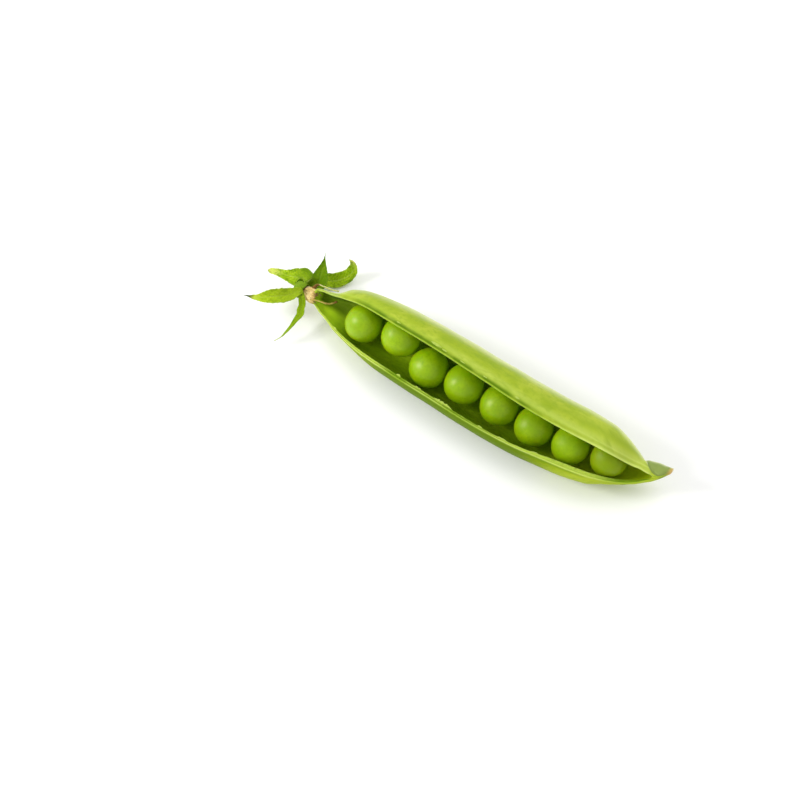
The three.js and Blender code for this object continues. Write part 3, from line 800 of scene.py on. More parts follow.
# kind, spine, width at shares of the length, facing at foot and tip, cup, wave,
# where the point starts, where the dry tip starts, and how soon the leaf turns to its own facing
SEPALS = {
    "up": (1, [(-1, 4.4, 0), (0, 3.6, 0.9), (1.6, 2.6, 1.7), (1.7, 2.1, 3.2), (1.2, 1.1, 4.45),
               (0.65, 0.4, 6.5), (0.1, 0.2, 8.7)],
           [(0, 1.8), (0.2, 2.6), (0.34, 4), (0.45, 3.9), (0.6, 2.9), (0.75, 1.9), (0.88, 1.2),
            (1, 0.7)],
           (0.45, -0.45, 0.8), (0.2, -0.75, 0.6), 0.16, 0.08, 0.66, 0.93),
    "hooked": (2, [(-1, 4.1, -0.1), (-0.4, 1.8, 0.7), (1.5, -2.6, 1.3), (2.7, -5.1, 1.35),
                   (4, -6.4, 2.3), (5.1, -7, 3.8), (5.6, -7.1, 5.5), (5.6, -6.4, 7),
                   (5.2, -5.2, 8.1), (4.8, -3.8, 8.5)],
               [(0, 2.4), (0.3, 3.4), (0.55, 3.7), (0.68, 3.2), (0.78, 3), (0.88, 2.2), (1, 1)],
               (0.1, -0.35, 1), (-0.3, -0.85, 0.55), 0.14, 0.12, 0.9, 0.74),
    "left_upper": (3, [(-1.1, 3.9, -0.4), (-0.9, 2.9, 0.7), (-2, 2.4, 1.2), (-3.8, 2.3, 0.6),
                       (-6.2, 2.1, -0.2), (-9.1, 1.9, -0.8), (-11.7, 2.1, -1.5)],
                   [(0, 3.8), (0.1, 4.6), (0.2, 4.9), (0.36, 4.4), (0.55, 2.8), (0.76, 1.9),
                    (1, 1.2)],
                   (0.15, -0.55, 0.9), (0.1, -0.3, 1), 0.15, 0.16, 0.94, 0.62, 0.2),
    "left_lower": (4, [(0.6, 7.1, 0.4), (-0.3, 7.5, -0.3), (-1.4, 8.1, -1.4), (-2.6, 9.2, -2.2),
                       (-4.7, 11.2, -3.1), (-7.3, 12.3, -4.5), (-10.7, 13.2, -5.4)],
                   [(0, 1.5), (0.1, 2.1), (0.22, 3), (0.4, 3.5), (0.56, 3.2), (0.68, 2.3),
                    (0.8, 1.3), (1, 0.75)],
                   (0.35, -0.35, 0.85), (0.5, -0.2, 0.9), 0.14, 0.1, 0.8, 0.66, 0.02),
    "down": (5, [(0.35, 7.1, -0.3), (1.3, 7.3, -1.7), (1.9, 7.4, -2.9), (2.3, 8.2, -3.8),
                 (2.8, 8.8, -4.5), (2.8, 10.3, -6.1), (2.7, 11.9, -8), (2.1, 13.1, -9.9),
                 (0.9, 13.8, -11.7)],
             [(0, 1.4), (0.15, 1.7), (0.35, 1.75), (0.45, 1.5), (0.6, 1.15), (0.8, 1), (1, 0.7)],
             (0.40, -0.45, 0.78), (-0.75, 0.35, 0.7), 0.1, 0.06, 0.85, 0.80, 0.02),
}
for name, values in SEPALS.items():
    print("sepal", name, "length mm", round(sepal(*values), 1))

# %% [markdown]
# The cup itself is turned like a bowl: up the outside, over a rim with five shallow lobes, and
# down the inside. The stub of the stalk is a tube that is thickest where it leaves the cup and
# widens a little again at its cut end.

# %% Cup and stub
BOWL = [(-2.4, 0.5), (-2.3, 1.0), (-2.1, 1.5), (-1.75, 1.85), (-1.2, 2.05), (-0.6, 2.1),
        (-0.1, 2.05), (0.3, 1.95), (0.4, 1.85), (0.3, 1.75), (-0.1, 1.7), (-0.5, 1.5),
        (-0.7, 1.1), (-0.75, 0.5)]
BOWL_SIDES, LOBES, RIBS = 72, 0.1, 0.02
STUB = [(-0.9, 4.7, -1.1), (-1.9, 3.6, -1.4), (-2.7, 1.9, -1.8), (-3.0, 0.2, -2.0)]


def about_neck(x, radius, turn):
    """Places on rings about the neck."""
    return laid(x, NECK_FORE + radius * np.cos(turn), NECK_SIDE + radius * np.sin(turn))


turn = np.linspace(0, 2 * math.pi, BOWL_SIDES, endpoint=False)
ribbed = 1 + RIBS * np.sin(10 * turn) + 0.5 * RIBS * np.sin(23 * turn + 1)
bowl = np.array([about_neck(x + LOBES * np.cos(5 * turn + 0.6) * smoothstep(0.8, 2.1, r),
                            r * ribbed, turn) for x, r in BOWL]).reshape(-1, 3)
calyx_parts.add(to_scene(bowl), wrap(len(BOWL), BOWL_SIDES), leaf=bowl, kind=6)

path, length = smooth_path(STUB, 30)
q = np.linspace(0, 1, 30)
thickness = 1.08 - 0.12 * q + 0.12 * smoothstep(0.8, 1, q) + 0.15 * (1 - smoothstep(0, 0.25, q))
last_step = path[-1] - path[-2]
points, faces = tube(np.vstack([path, path[-1] + 0.02 * last_step, path[-1] + 0.04 * last_step]),
                     np.concatenate([thickness, [0.92 * thickness[-1], 0.3]]), sides=28)
calyx_parts.add(to_scene(points), faces, leaf=points, stalk=1, kind=7)
calyx_piece = calyx_parts.finish("calyx_leaves")
print("calyx:", len(calyx_piece.data.vertices), "points; stub length mm", round(length, 1))

# %% [markdown]
# ## The withered stamen sheath
# Between the calyx and the pod sits what is left of the flower: the sleeve of stamens, dried to a
# crumpled paper collar. We turn it from two loose layers, crumple both with noise and tear their
# front edges. One dried thread droops into the mouth of the pod and ends in a knot, and a flat
# pale strip lies back along the outside of the upper valve.

# %% The collar of two paper layers
sheath_parts = Pile(["paper"], ["burnt", "strip", "thread"])
PAPER_SIDES, PAPER_STEPS, PAPER_THICK = 110, 26, 0.12


def paper_layer(radius, start, end, seed, crumple, tear):
    """One layer of the dried collar, as a closed sleeve with torn ends."""
    turn = np.linspace(0, 2 * math.pi, PAPER_SIDES, endpoint=False)
    q = np.linspace(0, 1, PAPER_STEPS)[:, None]
    cos, sin = np.cos(turn), np.sin(turn)
    torn_start = 0.18 * ripple(np.stack([2 * cos, 2 * sin, 0 * turn], -1), 0.5, seed)
    torn_end = tear * ripple(np.stack([2 * cos, 2 * sin, 0 * turn + 3], -1), 0.45, seed + 2)
    x = (start + torn_start) * (1 - q) + (end + torn_end) * q
    fold = 0.08 * np.sin(6 * turn + 2.4 * q + seed) + 0.05 * np.sin(13 * turn - 3 * q + 2 * seed)
    spots = np.stack([x, 1.8 * cos + 0 * x, 1.8 * sin + 0 * x], -1)
    crumpled = crumple * (ripple(spots, 0.9, seed) + 0.6 * ripple(spots, 0.35, seed + 7))
    r = radius * np.interp(q, [0, 0.3, 0.75, 1], [0.76, 0.88, 1.0, 0.84]) * (1 + fold) + crumpled
    points = np.concatenate([about_neck(x, r, turn), about_neck(x, r - PAPER_THICK, turn)[BACK]])
    faces = wrap(len(points), PAPER_SIDES, caps=False)
    last = (len(points) - 1) * PAPER_SIDES
    faces += [(last + i, last + (i + 1) % PAPER_SIDES, (i + 1) % PAPER_SIDES, i)
              for i in range(PAPER_SIDES)]
    edge = np.maximum(1 - smoothstep(0, 0.22, q), smoothstep(0.72, 1, q))
    burnt = np.clip(0.5 * edge + 0.35 * smoothstep(0.7, 1.0, np.sin(turn + 0.7)), 0, 1)
    sheath_parts.add(to_scene(points.reshape(-1, 3)), faces, paper=points.reshape(-1, 3),
                     burnt=np.concatenate([burnt, burnt[BACK]]).ravel())


paper_layer(1.50, 0.45, 3.95, 3, 0.08, 0.4)
paper_layer(1.74, 0.35, 3.80, 8, 0.12, 0.35)
print("collar:", sheath_parts.total, "points")

# %% The thread that droops into the mouth
THREAD = [(2.1, 6.4, -1.5), (3.3, 6.6, -0.95), (4.5, 6.5, -0.45), (5.8, 6.6, -0.2), (7.0, 6.5, 0.0),
          (8.3, 5.8, 0.45), (9.1, 4.9, 1.2)]
THREAD_SIDES = 14
path, length = smooth_path(THREAD, 60)
q = np.linspace(0, 1, 60)
far = q * 8
path = path + 0.05 * np.stack([drift(far, 0.9, k) for k in (3, 4, 5)], -1)
r = 0.20 + 0.05 * drift(far, 0.5, 6) + 0.10 * hill(q, 0.93, 0.05) + 0.04 * hill(q, 0.6, 0.04)
points, faces = tube(path, r * (1 - 0.6 * smoothstep(0.96, 1, q)), sides=THREAD_SIDES, flat=0.7)
burnt = np.clip(0.35 + 0.7 * smoothstep(0.78, 0.95, q) + 0.2 * drift(far, 0.7, 9), 0, 1)
sheath_parts.add(to_scene(points), faces, paper=points, thread=1,
                 burnt=np.repeat(burnt, THREAD_SIDES))
print("thread length mm:", round(length, 1))

# %% The flat strip
STRIP = [(2.0, 4.4, 0.9), (2.8, 4.4, 2.3), (4.3, 4.0, 2.4), (5.3, 3.7, 2.4), (6.5, 3.3, 2.5),
         (7.7, 2.7, 2.6)]
path, length = smooth_path(STRIP, 44)
t, s = np.linspace(0, 1, 44)[:, None], np.linspace(-1, 1, 9)[None, :]
far = t * 7
ahead = unit(np.gradient(path, axis=0))
up = square_to(ahead, pod_vector(SIDE - 0.4 * FORE)[None, :])
right = np.cross(ahead, up)
wide = np.interp(t, [0, 0.3, 0.7, 1], [0.5, 0.5, 0.42, 0.25]) * (1 + 0.2 * drift(far, 0.8, 12))
curl = 0.14 * drift(far, 1.2, 14) * s + 0.12 * s**2
middle_line = path[:, None] + right[:, None] * (s * wide)[..., None]
points, faces = sheet_between(middle_line + up[:, None] * (curl + 0.07)[..., None],
                              middle_line + up[:, None] * (curl - 0.07)[..., None])
sheath_parts.add(to_scene(points), faces, paper=points, strip=1,
                 burnt=both_faces(1 - smoothstep(0.26, 0.36, t) + 0 * curl))
sheath_piece = sheath_parts.finish("stamen_sheath_paper")
print("sheath:", len(sheath_piece.data.vertices), "points; strip length mm", round(length, 1))

# %% [markdown]
# ## Building a finish out of nodes
# A finish is a small tree of nodes. Written out one by one, nodes are long-winded, so we give the
# few kinds that this lesson needs short names. The most useful one is `coats`: like a painter, it
# lays one colour after another over what is there, each where its own mask says and only as
# strongly as we want.

# %% Short names for nodes
def rgb(r, g, b):
    """A colour with full cover."""
    return (r, g, b, 1.0)


class Nodes:
    """A node tree, with short names for the nodes that the finishes are made of."""

    def __init__(self, tree):
        self.tree = tree

    def fill(self, node, inputs):
        """Sets a node's inputs, and links those that are sockets."""
        for key, value in inputs.items():
            if isinstance(value, bpy.types.NodeSocket):
                self.tree.links.new(value, node.inputs[key])
            else:
                node.inputs[key].default_value = value
        return node

    def node(self, kind, inputs, **settings):
        """Adds a node of a kind, with its settings and its inputs."""
        node = self.tree.nodes.new(kind)
        for key, value in settings.items():
            setattr(node, key, value)
        return self.fill(node, inputs)

    def maths(self, operation, *values):
        """One step of arithmetic."""
        return self.node("ShaderNodeMath", dict(enumerate(values)), operation=operation).outputs[0]

    def times(self, first, *others):
        """The product of all its values."""
        for other in others:
            first = self.maths("MULTIPLY", first, other)
        return first

    def stretch(self, value, factor, start):
        """A value times a factor, plus a start."""
        return self.maths("MULTIPLY_ADD", value, factor, start)

    def ramp(self, value, low, high):
        """Turns low..high softly into 0..1."""
        return self.node("ShaderNodeMapRange", {"Value": value, "From Min": low, "From Max": high},
                         interpolation_type="SMOOTHSTEP").outputs["Result"]

    def mix(self, amount, a, b):
        """A colour between a (amount 0) and b (amount 1)."""
        return self.node("ShaderNodeMix", {0: amount, 6: a, 7: b}, data_type="RGBA").outputs[2]

    def coats(self, colour, *coats):
        """Lays coats over a colour. Each is a mask, how strong it is, and its own colour."""
        for mask, strength, paint in coats:
            colour = self.mix(self.times(mask, strength), colour, paint)
        return colour

    def grain(self, place, scale, detail, roughness, distortion=0.0):
        """A noise pattern."""
        return self.node("ShaderNodeTexNoise", {
            "Vector": place, "Scale": scale, "Detail": detail, "Roughness": roughness,
            "Distortion": distortion}).outputs[0]

    def scaled(self, place, scale):
        """A place with its X, Y and Z stretched, so that a pattern gets a grain."""
        return self.node("ShaderNodeMapping", {"Vector": place, "Scale": scale}).outputs[0]

    def parts(self, place):
        """X, Y and Z of a place, each on its own."""
        return self.node("ShaderNodeSeparateXYZ", {"Vector": place}).outputs

    def named(self, name, output="Fac"):
        """A named value that the mesh carries on its points."""
        return self.node("ShaderNodeAttribute", {}, attribute_name=name).outputs[output]


print("kinds of step:", [name for name in vars(Nodes) if not name.startswith("_")])

# %% [markdown]
# ## A finish that all the skins share
# Living skin is never one green. There are slow patches where it is paler or darker, a finer
# mottling inside them, and tiny pale specks where the skin breathes. All the plant finishes use
# that same recipe with their own colours and sizes, so it is built once, as a node group. It puts
# out a colour, a mask of the specks, a height for the bump, and a roughness.

# %% The shared group
def make_plant_skin():
    """The shared recipe: slow patches, mottling and specks, from a place and three colours."""
    group = bpy.data.node_groups.new("plant skin", "ShaderNodeTree")
    sockets = {"INPUT": {"Place": "Vector", "Patch Size": "Float", "Main": "Color", "Pale": "Color",
                         "Deep": "Color", "Speck Amount": "Float", "Rough Low": "Float",
                         "Rough High": "Float"},
               "OUTPUT": {"Color": "Color", "Specks": "Float", "Height": "Float",
                          "Roughness": "Float"}}
    for side, kinds in sockets.items():
        for name, kind in kinds.items():
            group.interface.new_socket(name=name, in_out=side, socket_type="NodeSocket" + kind)
    g = Nodes(group)
    into = g.node("NodeGroupInput", {}).outputs
    place, slow = into["Place"], g.maths("DIVIDE", 1.0, into["Patch Size"])
    patches = g.grain(place, slow, 3.0, 0.55, 0.3)
    mottle = g.grain(place, g.times(slow, 5.5), 4.0, 0.6)
    cells = g.node("ShaderNodeTexVoronoi", {"Vector": place, "Scale": 2.6, "Randomness": 1.0})
    speck = g.times(g.ramp(cells.outputs["Distance"], 0.30, 0.10), into["Speck Amount"])
    colour = g.coats(into["Main"],
                     (g.ramp(patches, 0.42, 0.66), 1.0, into["Pale"]),
                     (g.ramp(mottle, 0.56, 0.34), 0.7, into["Deep"]),
                     (speck, 1.0, into["Pale"]))
    rough = g.node("ShaderNodeMapRange", {"Value": mottle, "From Min": 0.3, "From Max": 0.7,
                                          "To Min": into["Rough Low"], "To Max": into["Rough High"]})
    g.node("NodeGroupOutput", {
        "Color": colour, "Specks": speck, "Roughness": rough.outputs["Result"],
        "Height": g.maths("ADD", g.times(mottle, 0.6), g.times(speck, 0.5))})
    return group


PLANT_SKIN = make_plant_skin()
print("group outputs:", [i.name for i in PLANT_SKIN.interface.items_tree if i.in_out == "OUTPUT"])

# %% A material with one shader
class Finish(Nodes):
    """A material: a tree of nodes that ends in one Principled shader."""

    def __init__(self, name):
        self.material = bpy.data.materials.new(name)
        self.material.use_nodes = True
        super().__init__(self.material.node_tree)

    def skin(self, place, size, main, pale, deep, specks, rough_low, rough_high):
        """The shared skin with this finish's own size of patches and its own colours."""
        return self.node("ShaderNodeGroup", {
            "Place": place, "Patch Size": size, "Main": main, "Pale": pale, "Deep": deep,
            "Speck Amount": specks, "Rough Low": rough_low, "Rough High": rough_high},
                         node_tree=PLANT_SKIN).outputs

    def bump(self, height, strength, distance):
        """Fine relief that only the light sees."""
        return self.node("ShaderNodeBump", {"Height": height, "Strength": strength,
                                            "Distance": distance}).outputs[0]

    def put_on(self, pieces, inputs):
        """Fills the shader's inputs and gives the material to the pieces."""
        self.fill(self.tree.nodes["Principled BSDF"], inputs)
        for piece in pieces:
            piece.data.materials.append(self.material)
        print(self.material.name, "nodes:", len(self.tree.nodes), "on pieces:", len(pieces))


def flesh(weight, radius, scale):
    """Light that travels some way under the skin, for red, green and blue."""
    return {"Subsurface Weight": weight, "Subsurface Radius": radius, "Subsurface Scale": scale}


print("the shared skin has", len(PLANT_SKIN.nodes), "nodes")

# %% [markdown]
# ## The finish of the pod's wall
# Outside, the skin is a warm yellow-green with cloudy patches. Painted shade makes it deeper on
# the lower valve, and a painted highlight makes it paler in a band along the upper rim. Inside, the
# wall is a deeper green, smoother and moister. It is painted brighter where the light comes in at
# both ends, and darker with painted shade deep by the stalk. The named values on the mesh say where
# each colour goes.

# %% Wall: the skin outside and inside
look = Finish("pod_wall_finish")
spot = look.named("skin", "Vector")
far = look.parts(spot)["X"]
upper, within, lip = [look.named(name) for name in ("upper", "inside", "lip")]


def rises(low, high):
    """A mask that goes from 0 to 1 between two places along the pod, in millimetres."""
    return look.ramp(far, low, high)


outside = look.skin(look.scaled(spot, (0.6, 1.0, 1.0)), 4.5, rgb(0.308, 0.412, 0.008),
                    rgb(0.410, 0.490, 0.030), rgb(0.235, 0.350, 0.004), 0.15, 0.42, 0.52)
inside = look.skin(look.scaled(spot, (0.6, 1.0, 1.0)), 3.5, rgb(0.255, 0.415, 0.004),
                   rgb(0.330, 0.490, 0.010), rgb(0.185, 0.335, 0.003), 0.05, 0.40, 0.50)
clouds = look.grain(look.scaled(spot, (0.28, 0.8, 1.0)), 0.5, 3.0, 0.6, 0.5)
# Painted highlight: a pale band along the upper valve near its rim, stronger towards the beak.
band = look.times(look.named("band"), look.stretch(rises(30.0, 52.0), 0.35, 0.15))
# Painted shade: the lower valve's outside deeper green over the middle of the pod.
underside_shade = look.times(rises(14.0, 30.0), rises(78.0, 64.0), look.stretch(upper, -0.7, 0.7))
out_colour = look.coats(
    outside["Color"],
    (rises(70.0, 84.0), 0.6, rgb(0.455, 0.560, 0.040)),
    (band, 1.0, rgb(0.480, 0.580, 0.110)),
    (look.ramp(clouds, 0.50, 0.68), 0.45, rgb(0.215, 0.330, 0.003)),
    # painted shade over the middle of the upper valve
    (look.named("valley"), 0.6, rgb(0.235, 0.345, 0.004)),
    (underside_shade, 1.3, rgb(0.094, 0.172, 0.001)))
# Painted light and shade inside: brighter near the stalk and near the beak, where the light comes in,
# and darker deep in the hollow by the stalk.
in_colour = look.coats(
    inside["Color"],
    (rises(14.5, 9.0), 0.96, rgb(0.700, 1.000, 0.030)),
    (rises(66.0, 80.0), 0.9, rgb(0.500, 0.620, 0.010)),
    (look.named("gloom"), 0.9, rgb(0.050, 0.110, 0.001)))
print("colours outside and inside:", out_colour.name, "and", in_colour.name)

# %% [markdown]
# The rims are pale and stringy where the skin tore, and fresh green elsewhere, so one mask says
# how pale each rim is along its length. The painted shade of the groove beside the bead, the torn
# bits, the seam at the back, the greyish beak and its brown point then go over them. The second pale
# line beside the bead and the inner edge of each lip carry painted highlight. Last comes a painted
# sheen: a pale colour mixed in wherever we look along the upper valve, which is what Layer Weight
# tells us, standing for the light that the bloom of wax reflects there. Only a touch of it is left
# to the shader's own Sheen.

# %% Wall: rims, beak and painted sheen
strings = look.grain(look.scaled(spot, (0.5, 5.0, 1.0)), 1.3, 4.0, 0.65)
pale_mid = look.times(rises(33.5, 37.0), rises(49.0, 43.0), 0.6)
pale_low = look.maths("MAXIMUM", rises(31.0, 26.5), pale_mid)
pale_low = look.times(look.maths("MAXIMUM", pale_low, rises(44.0, 68.0)), rises(90.0, 82.0))
pale_up = look.times(rises(62.0, 84.0), rises(95.6, 93.6))
pale_up = look.stretch(rises(20.0, 10.0), 0.4, pale_up)
pale = look.stretch(look.maths("SUBTRACT", pale_up, pale_low), upper, pale_low)
fresh = look.mix(look.ramp(strings, 0.38, 0.62), rgb(0.150, 0.275, 0.005),
                 rgb(0.215, 0.350, 0.012))
brown_point = look.ramp(look.stretch(strings, 1.6, far), 98.1, 99.2)
# Painted sheen: a pale colour where we look along the upper valve, for the light its waxy bloom
# reflects.
glance = look.node("ShaderNodeLayerWeight", {"Blend": 0.5}).outputs["Facing"]
grazing_sheen = look.times(look.ramp(glance, 0.42, 0.92), 0.78,
                 look.maths("SUBTRACT", 1.0, within), upper, 0.8,
                 look.stretch(rises(18.0, 32.0), 0.5, 0.5))
colour = look.coats(
    look.mix(within, out_colour, in_colour),
    (lip, 1.0, look.mix(pale, fresh, rgb(0.500, 0.650, 0.080))),
    # pale torn skin at the lips' inner edges, with a painted highlight
    (look.named("edge"), 0.7,
     look.mix(pale, rgb(0.350, 0.500, 0.050), rgb(0.600, 0.720, 0.150))),
    # the pale bead, with its second pale line of painted highlight
    (look.named("bead"), 0.85,
     look.mix(pale, rgb(0.350, 0.520, 0.035), rgb(0.640, 0.760, 0.180))),
    # painted shade in the rim groove, the lip furrows and under the lower lip, with the tear ticks
    (look.named("groove"), 1.0, rgb(0.080, 0.175, 0.001)),
    (look.named("torn"), 0.5, rgb(0.500, 0.640, 0.120)),
    (look.named("slip"), 0.8, rgb(0.480, 0.620, 0.110)),
    (look.named("seam"), 0.35, rgb(0.560, 0.680, 0.150)),
    (look.named("beak"), 0.85, rgb(0.175, 0.240, 0.065)),
    (brown_point, 1.0, rgb(0.620, 0.400, 0.120)),
    (grazing_sheen, 1.0, rgb(0.830, 0.880, 0.470)))
print("colour of the wall:", colour.name)

# %% Wall: gloss, tint and bump
rough = look.node("ShaderNodeMix", {0: within, 2: outside["Roughness"], 3: inside["Roughness"]},
                  data_type="FLOAT").outputs[0]
height = look.maths("ADD", outside["Height"],
                    look.times(strings, look.maths("ADD", lip, 0.25)))
under = look.maths("SUBTRACT", 1.0, look.maths(
    "MAXIMUM", upper, look.maths("MAXIMUM", within, lip)))
shaded = look.maths("MAXIMUM", within, look.named("groove"))
tint = look.mix(shaded, look.mix(upper, rgb(1.0, 1.0, 0.25), rgb(1.0, 1.0, 0.60)),
                rgb(1.0, 1.0, 0.2))
look.put_on([pod_wall], {
    "Base Color": colour, "Roughness": rough, "Normal": look.bump(height, 0.45, 0.0002),
    "Specular IOR Level": look.stretch(under, -0.23, 0.30), "Specular Tint": tint,
    "Sheen Weight": look.times(upper, 0.05), "Sheen Roughness": 0.45,
    "Sheen Tint": rgb(0.95, 1.0, 0.85), **flesh(0.12, (0.6, 1.0, 0.15), 0.0012)})

# %% [markdown]
# ## The finish of the peas
# The seed coat is smooth and tight, so its highlight is soft but clear, and duller on the last
# peas of the row. Light also travels a long way into the flesh, nearly half a centimetre, which
# fills the shadows with green. That is strong subsurface scattering, and it lets us keep the
# mottling faint.

# %% Pea finish
look = Finish("pea_finish")
coat = look.skin(look.named("skin", "Vector"), 3.2, rgb(0.280, 0.445, 0.001),
                 rgb(0.335, 0.500, 0.002), rgb(0.230, 0.390, 0.001), 0.06, 0.31, 0.37)
colour = look.coats(coat["Color"],
                    (look.named("scar"), 0.7, rgb(0.52, 0.60, 0.16)),
                    (look.named("olive"), 1.0, rgb(0.215, 0.305, 0.001)))
dull = look.named("dull")
look.put_on(pea_pieces, {
    "Base Color": colour, "Roughness": look.stretch(dull, 0.12, coat["Roughness"]),
    "Normal": look.bump(coat["Height"], 0.10, 0.0001),
    "Specular IOR Level": look.stretch(dull, -0.18, 0.42),
    "Specular Tint": rgb(1.0, 0.94, 0.72), **flesh(0.75, (0.6, 1.0, 0.05), 0.0048)})

# %% [markdown]
# ## The finish of the calyx
# Sepals are small leaves: matt, with a pale midrib, side veins that fan out from it, darker
# bruised patches, and tips that dry to straw and then to brown. The leaf's own length and breadth
# are stored on its points, so the veins follow every twist. Each part also carries its number,
# so that single leaves can be given a tone of their own. The upper sepal is painted darker as
# painted shade, because it faces away from the light.

# %% Calyx: pattern of a leaf
look = Finish("calyx_finish")
spot = look.named("leaf", "Vector")
leaf = look.skin(look.scaled(spot, (1.4, 0.8, 1.0)), 1.9, rgb(0.250, 0.400, 0.003),
                 rgb(0.360, 0.510, 0.012), rgb(0.100, 0.205, 0.001), 0.10, 0.52, 0.64)
from_rib = look.maths("ABSOLUTE", look.named("across"))
leaf_parts = look.parts(spot)
slant = look.times(look.maths("ABSOLUTE", leaf_parts["X"]), 1.5)
fan = look.maths("SUBTRACT", leaf_parts["Y"], slant)
vein = look.ramp(look.maths("SINE", look.times(fan, 5.2)), 0.75, 1.0)
bruise = look.grain(look.scaled(spot, (0.9, 0.6, 1.0)), 1.0, 5.0, 0.70, 0.6)
along, kind = look.named("along"), look.named("kind")


def leaves(first, last):
    """A mask that is 1 on the parts that are numbered first to last, and 0 on the others."""
    return look.times(look.ramp(kind, first - 0.6, first - 0.2),
                      look.ramp(kind, last + 0.6, last + 0.2))


print("nodes for the leaf's pattern:", len(look.tree.nodes))

# %% Calyx finish
foot = look.times(look.ramp(along, 0.55, 0.20), leaves(3, 4))
burnt_tip = look.times(look.ramp(along, 0.80, 0.92), leaves(4, 4))
colour = look.coats(
    leaf["Color"],
    (look.ramp(from_rib, 0.14, 0.02), 0.35, rgb(0.42, 0.52, 0.09)),
    (vein, 0.30, rgb(0.40, 0.50, 0.08)),
    (look.ramp(from_rib, 0.80, 1.0), 0.55, rgb(0.44, 0.50, 0.11)),
    (look.named("dry"), 0.85, rgb(0.67, 0.69, 0.15)),
    (look.ramp(bruise, 0.51, 0.62), 0.65, rgb(0.075, 0.160, 0.001)),
    (look.ramp(bruise, 0.40, 0.30), 0.5, rgb(0.470, 0.600, 0.050)),
    (foot, 0.55, rgb(0.115, 0.220, 0.004)),
    (leaves(5, 5), 0.6, rgb(0.150, 0.250, 0.003)),
    # painted shade: the upper sepal darker, as it faces away from the light
    (leaves(1, 1), 0.75, rgb(0.065, 0.155, 0.001)),
    (leaves(4, 4), 0.25, rgb(0.520, 0.620, 0.030)),
    (burnt_tip, 1.0, rgb(0.055, 0.075, 0.012)),
    (leaves(6, 7), 0.7, rgb(0.110, 0.230, 0.002)),
    (look.named("stalk"), 1.0, rgb(0.30, 0.42, 0.05)))
height = look.maths("ADD", leaf["Height"], look.times(vein, 0.5))
look.put_on([calyx_piece], {
    "Base Color": colour, "Roughness": leaf["Roughness"],
    "Normal": look.bump(height, 0.35, 0.00015), "Specular IOR Level": 0.14,
    "Specular Tint": rgb(1.0, 1.0, 0.2), **flesh(0.10, (0.5, 1.0, 0.05), 0.0006)})

# %% [markdown]
# ## The finish of the dried sheath
# Dead petals and stamens dry to paper: a straw colour with fine lengthwise fibres, brown at the
# torn edges. It has hardly any gloss. The flat strip is the palest part.

# %% Sheath finish
look = Finish("dry_sheath_finish")
spot, burnt = look.named("paper", "Vector"), look.named("burnt")
paper = look.skin(spot, 1.1, rgb(0.860, 0.660, 0.230), rgb(0.920, 0.780, 0.370),
                  rgb(0.560, 0.310, 0.070), 0.2, 0.70, 0.88)
fibre = look.grain(look.scaled(spot, (0.8, 6.0, 6.0)), 1.6, 5.0, 0.7)
frayed = look.ramp(look.stretch(burnt, 0.35, fibre), 0.45, 0.80)
colour = look.coats(
    paper["Color"],
    (look.ramp(fibre, 0.58, 0.40), 0.45, rgb(0.42, 0.24, 0.09)),
    (look.named("strip"), 0.8, rgb(0.80, 0.80, 0.36)),
    (look.named("thread"), 0.8, rgb(0.42, 0.34, 0.05)),
    (look.times(burnt, frayed), 1.0, rgb(0.230, 0.110, 0.025)))
height = look.maths("ADD", paper["Height"], fibre)
look.put_on([sheath_piece], {
    "Base Color": colour, "Roughness": paper["Roughness"],
    "Normal": look.bump(height, 0.5, 0.00012), "Specular IOR Level": 0.25,
    **flesh(0.1, (1.0, 0.6, 0.3), 0.0006)})

# %% [markdown]
# ## What each piece stands for
# Every visual piece rides on the pod's one body, replaces its own solid, and names the finish in
# the record that it takes.

# %% Bodies and nodes
for piece, solid, finish in ([(pod_wall, "pod_shell", "pod_wall"), (calyx_piece, "calyx", "sepal"),
                              (sheath_piece, "stamen_sheath", "dry_sheath")]
                             + [(p, f"pea_{n + 1}", "pea") for n, p in enumerate(pea_pieces)]):
    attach(piece, "root")
    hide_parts(solid)
print("pieces:", 3 + len(pea_pieces))

# %% [markdown]
# ## Floor, light and camera
# A plain pale floor, a wide soft lamp from the upper left for the highlights, and an even white
# surround that fills the shadows. The floor's shade comes from a very faint noise, so that it
# isn't one dead value. The lamps don't reach the far floor, so it glows a little out there, and a
# low view still ends in white.

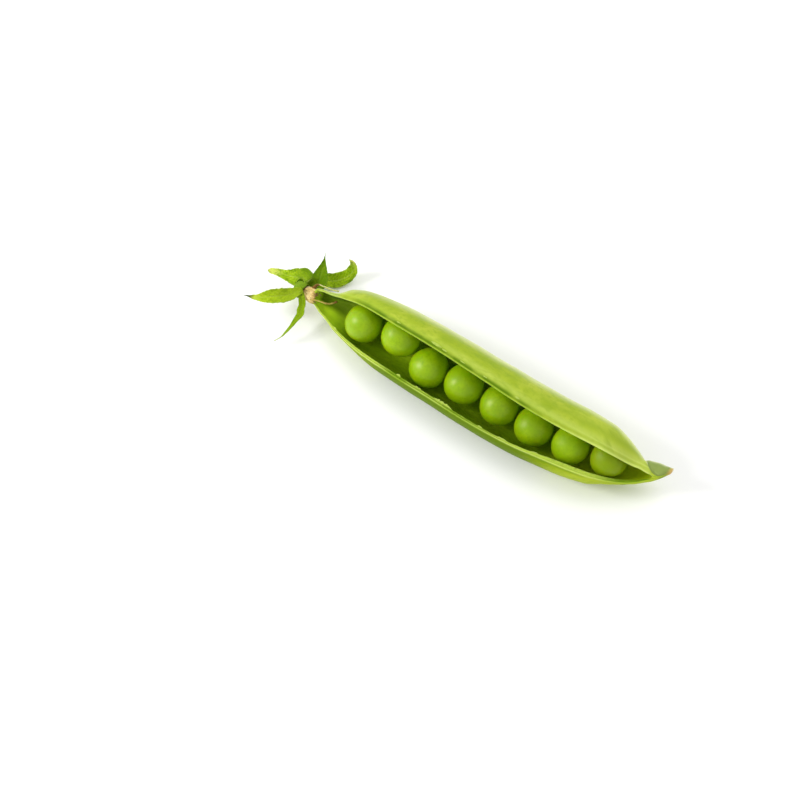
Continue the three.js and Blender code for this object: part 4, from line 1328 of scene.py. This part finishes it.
# %% Floor
HALF_FLOOR = 4.5
floor_mesh = bpy.data.meshes.new("table_top")
bm = bmesh.new()
bmesh.ops.create_grid(bm, x_segments=8, y_segments=8, size=HALF_FLOOR)
bm.to_mesh(floor_mesh)
bm.free()
floor = link("table_top", floor_mesh)
look = Finish("table_finish")
cloud = look.node("ShaderNodeTexNoise", {"Scale": 6.0, "Detail": 2.0}).outputs[0]
spot = look.node("ShaderNodeNewGeometry", {}).outputs["Position"]
away = look.node("ShaderNodeVectorMath", {0: spot}, operation="LENGTH").outputs["Value"]
look.put_on([floor], {
    "Base Color": look.mix(cloud, rgb(0.965, 0.965, 0.96), rgb(0.98, 0.98, 0.975)),
    "Emission Strength": look.times(look.ramp(away, 0.25, 1.30), 0.34),
    "Roughness": 0.6, "Specular IOR Level": 0.3})
print("floor:", [round(d, 2) for d in floor.dimensions], "m")

# %% Light
world = bpy.data.worlds.new("soft_white_room")
world.use_nodes = True
surround = world.node_tree.nodes["Background"].inputs
surround["Color"].default_value = rgb(1, 1, 1)
surround["Strength"].default_value = 0.70
bpy.context.scene.world = world
MIDDLE = to_scene(laid(48, 0, 0))


def soft_lamp(name, towards, distance, size, power):
    """A round soft lamp that looks at the middle of the pod, from a direction and a distance."""
    lamp = bpy.data.lights.new(name, "AREA")
    lamp.shape = "DISK"
    lamp.size, lamp.energy = size, power
    at = MIDDLE + distance * pod_vector(towards) / np.linalg.norm(towards)
    holder = link(name, lamp)
    holder.location = at
    holder.rotation_euler = Vector(MIDDLE - at).to_track_quat("-Z", "Y").to_euler()


soft_lamp("key_lamp", (-0.657, -0.522, 0.556), 0.60, 0.22, 2.2)
soft_lamp("top_panel", (0.10, 0.55, 0.83), 0.80, 1.00, 3.0)

# %% Camera
AZIMUTH, ELEVATION = math.radians(33), math.radians(58)
# how far the camera stands from the pod's middle, in millimetres
TO_LEFT, DOWN, AWAY = 19.61, 5.44, 519
toward = np.array([math.sin(AZIMUTH) * math.cos(ELEVATION),
                   -math.cos(AZIMUTH) * math.cos(ELEVATION), math.sin(ELEVATION)])
right = np.array([math.cos(AZIMUTH), math.sin(AZIMUTH), 0.0])
axes = [pod_vector(axis) for axis in (right, np.cross(toward, right), toward)]
eye = MIDDLE + MM * (AWAY * axes[2] - TO_LEFT * axes[0] - DOWN * axes[1])
lens = bpy.data.cameras.new("camera")
lens.lens, lens.sensor_width = 100, 36
lens.clip_start, lens.clip_end = 0.01, 10
camera = link("camera", lens)
turned = np.eye(4)
turned[:3] = np.column_stack(axes + [eye])
camera.matrix_world = Matrix(turned.tolist())
bpy.context.scene.camera = camera
bpy.context.scene.view_settings.view_transform = "Standard"
print("camera at", np.round(eye, 3))

# %% [markdown]
# ## Sizes and the last word
# The visual pieces must fill the same box as the solids.
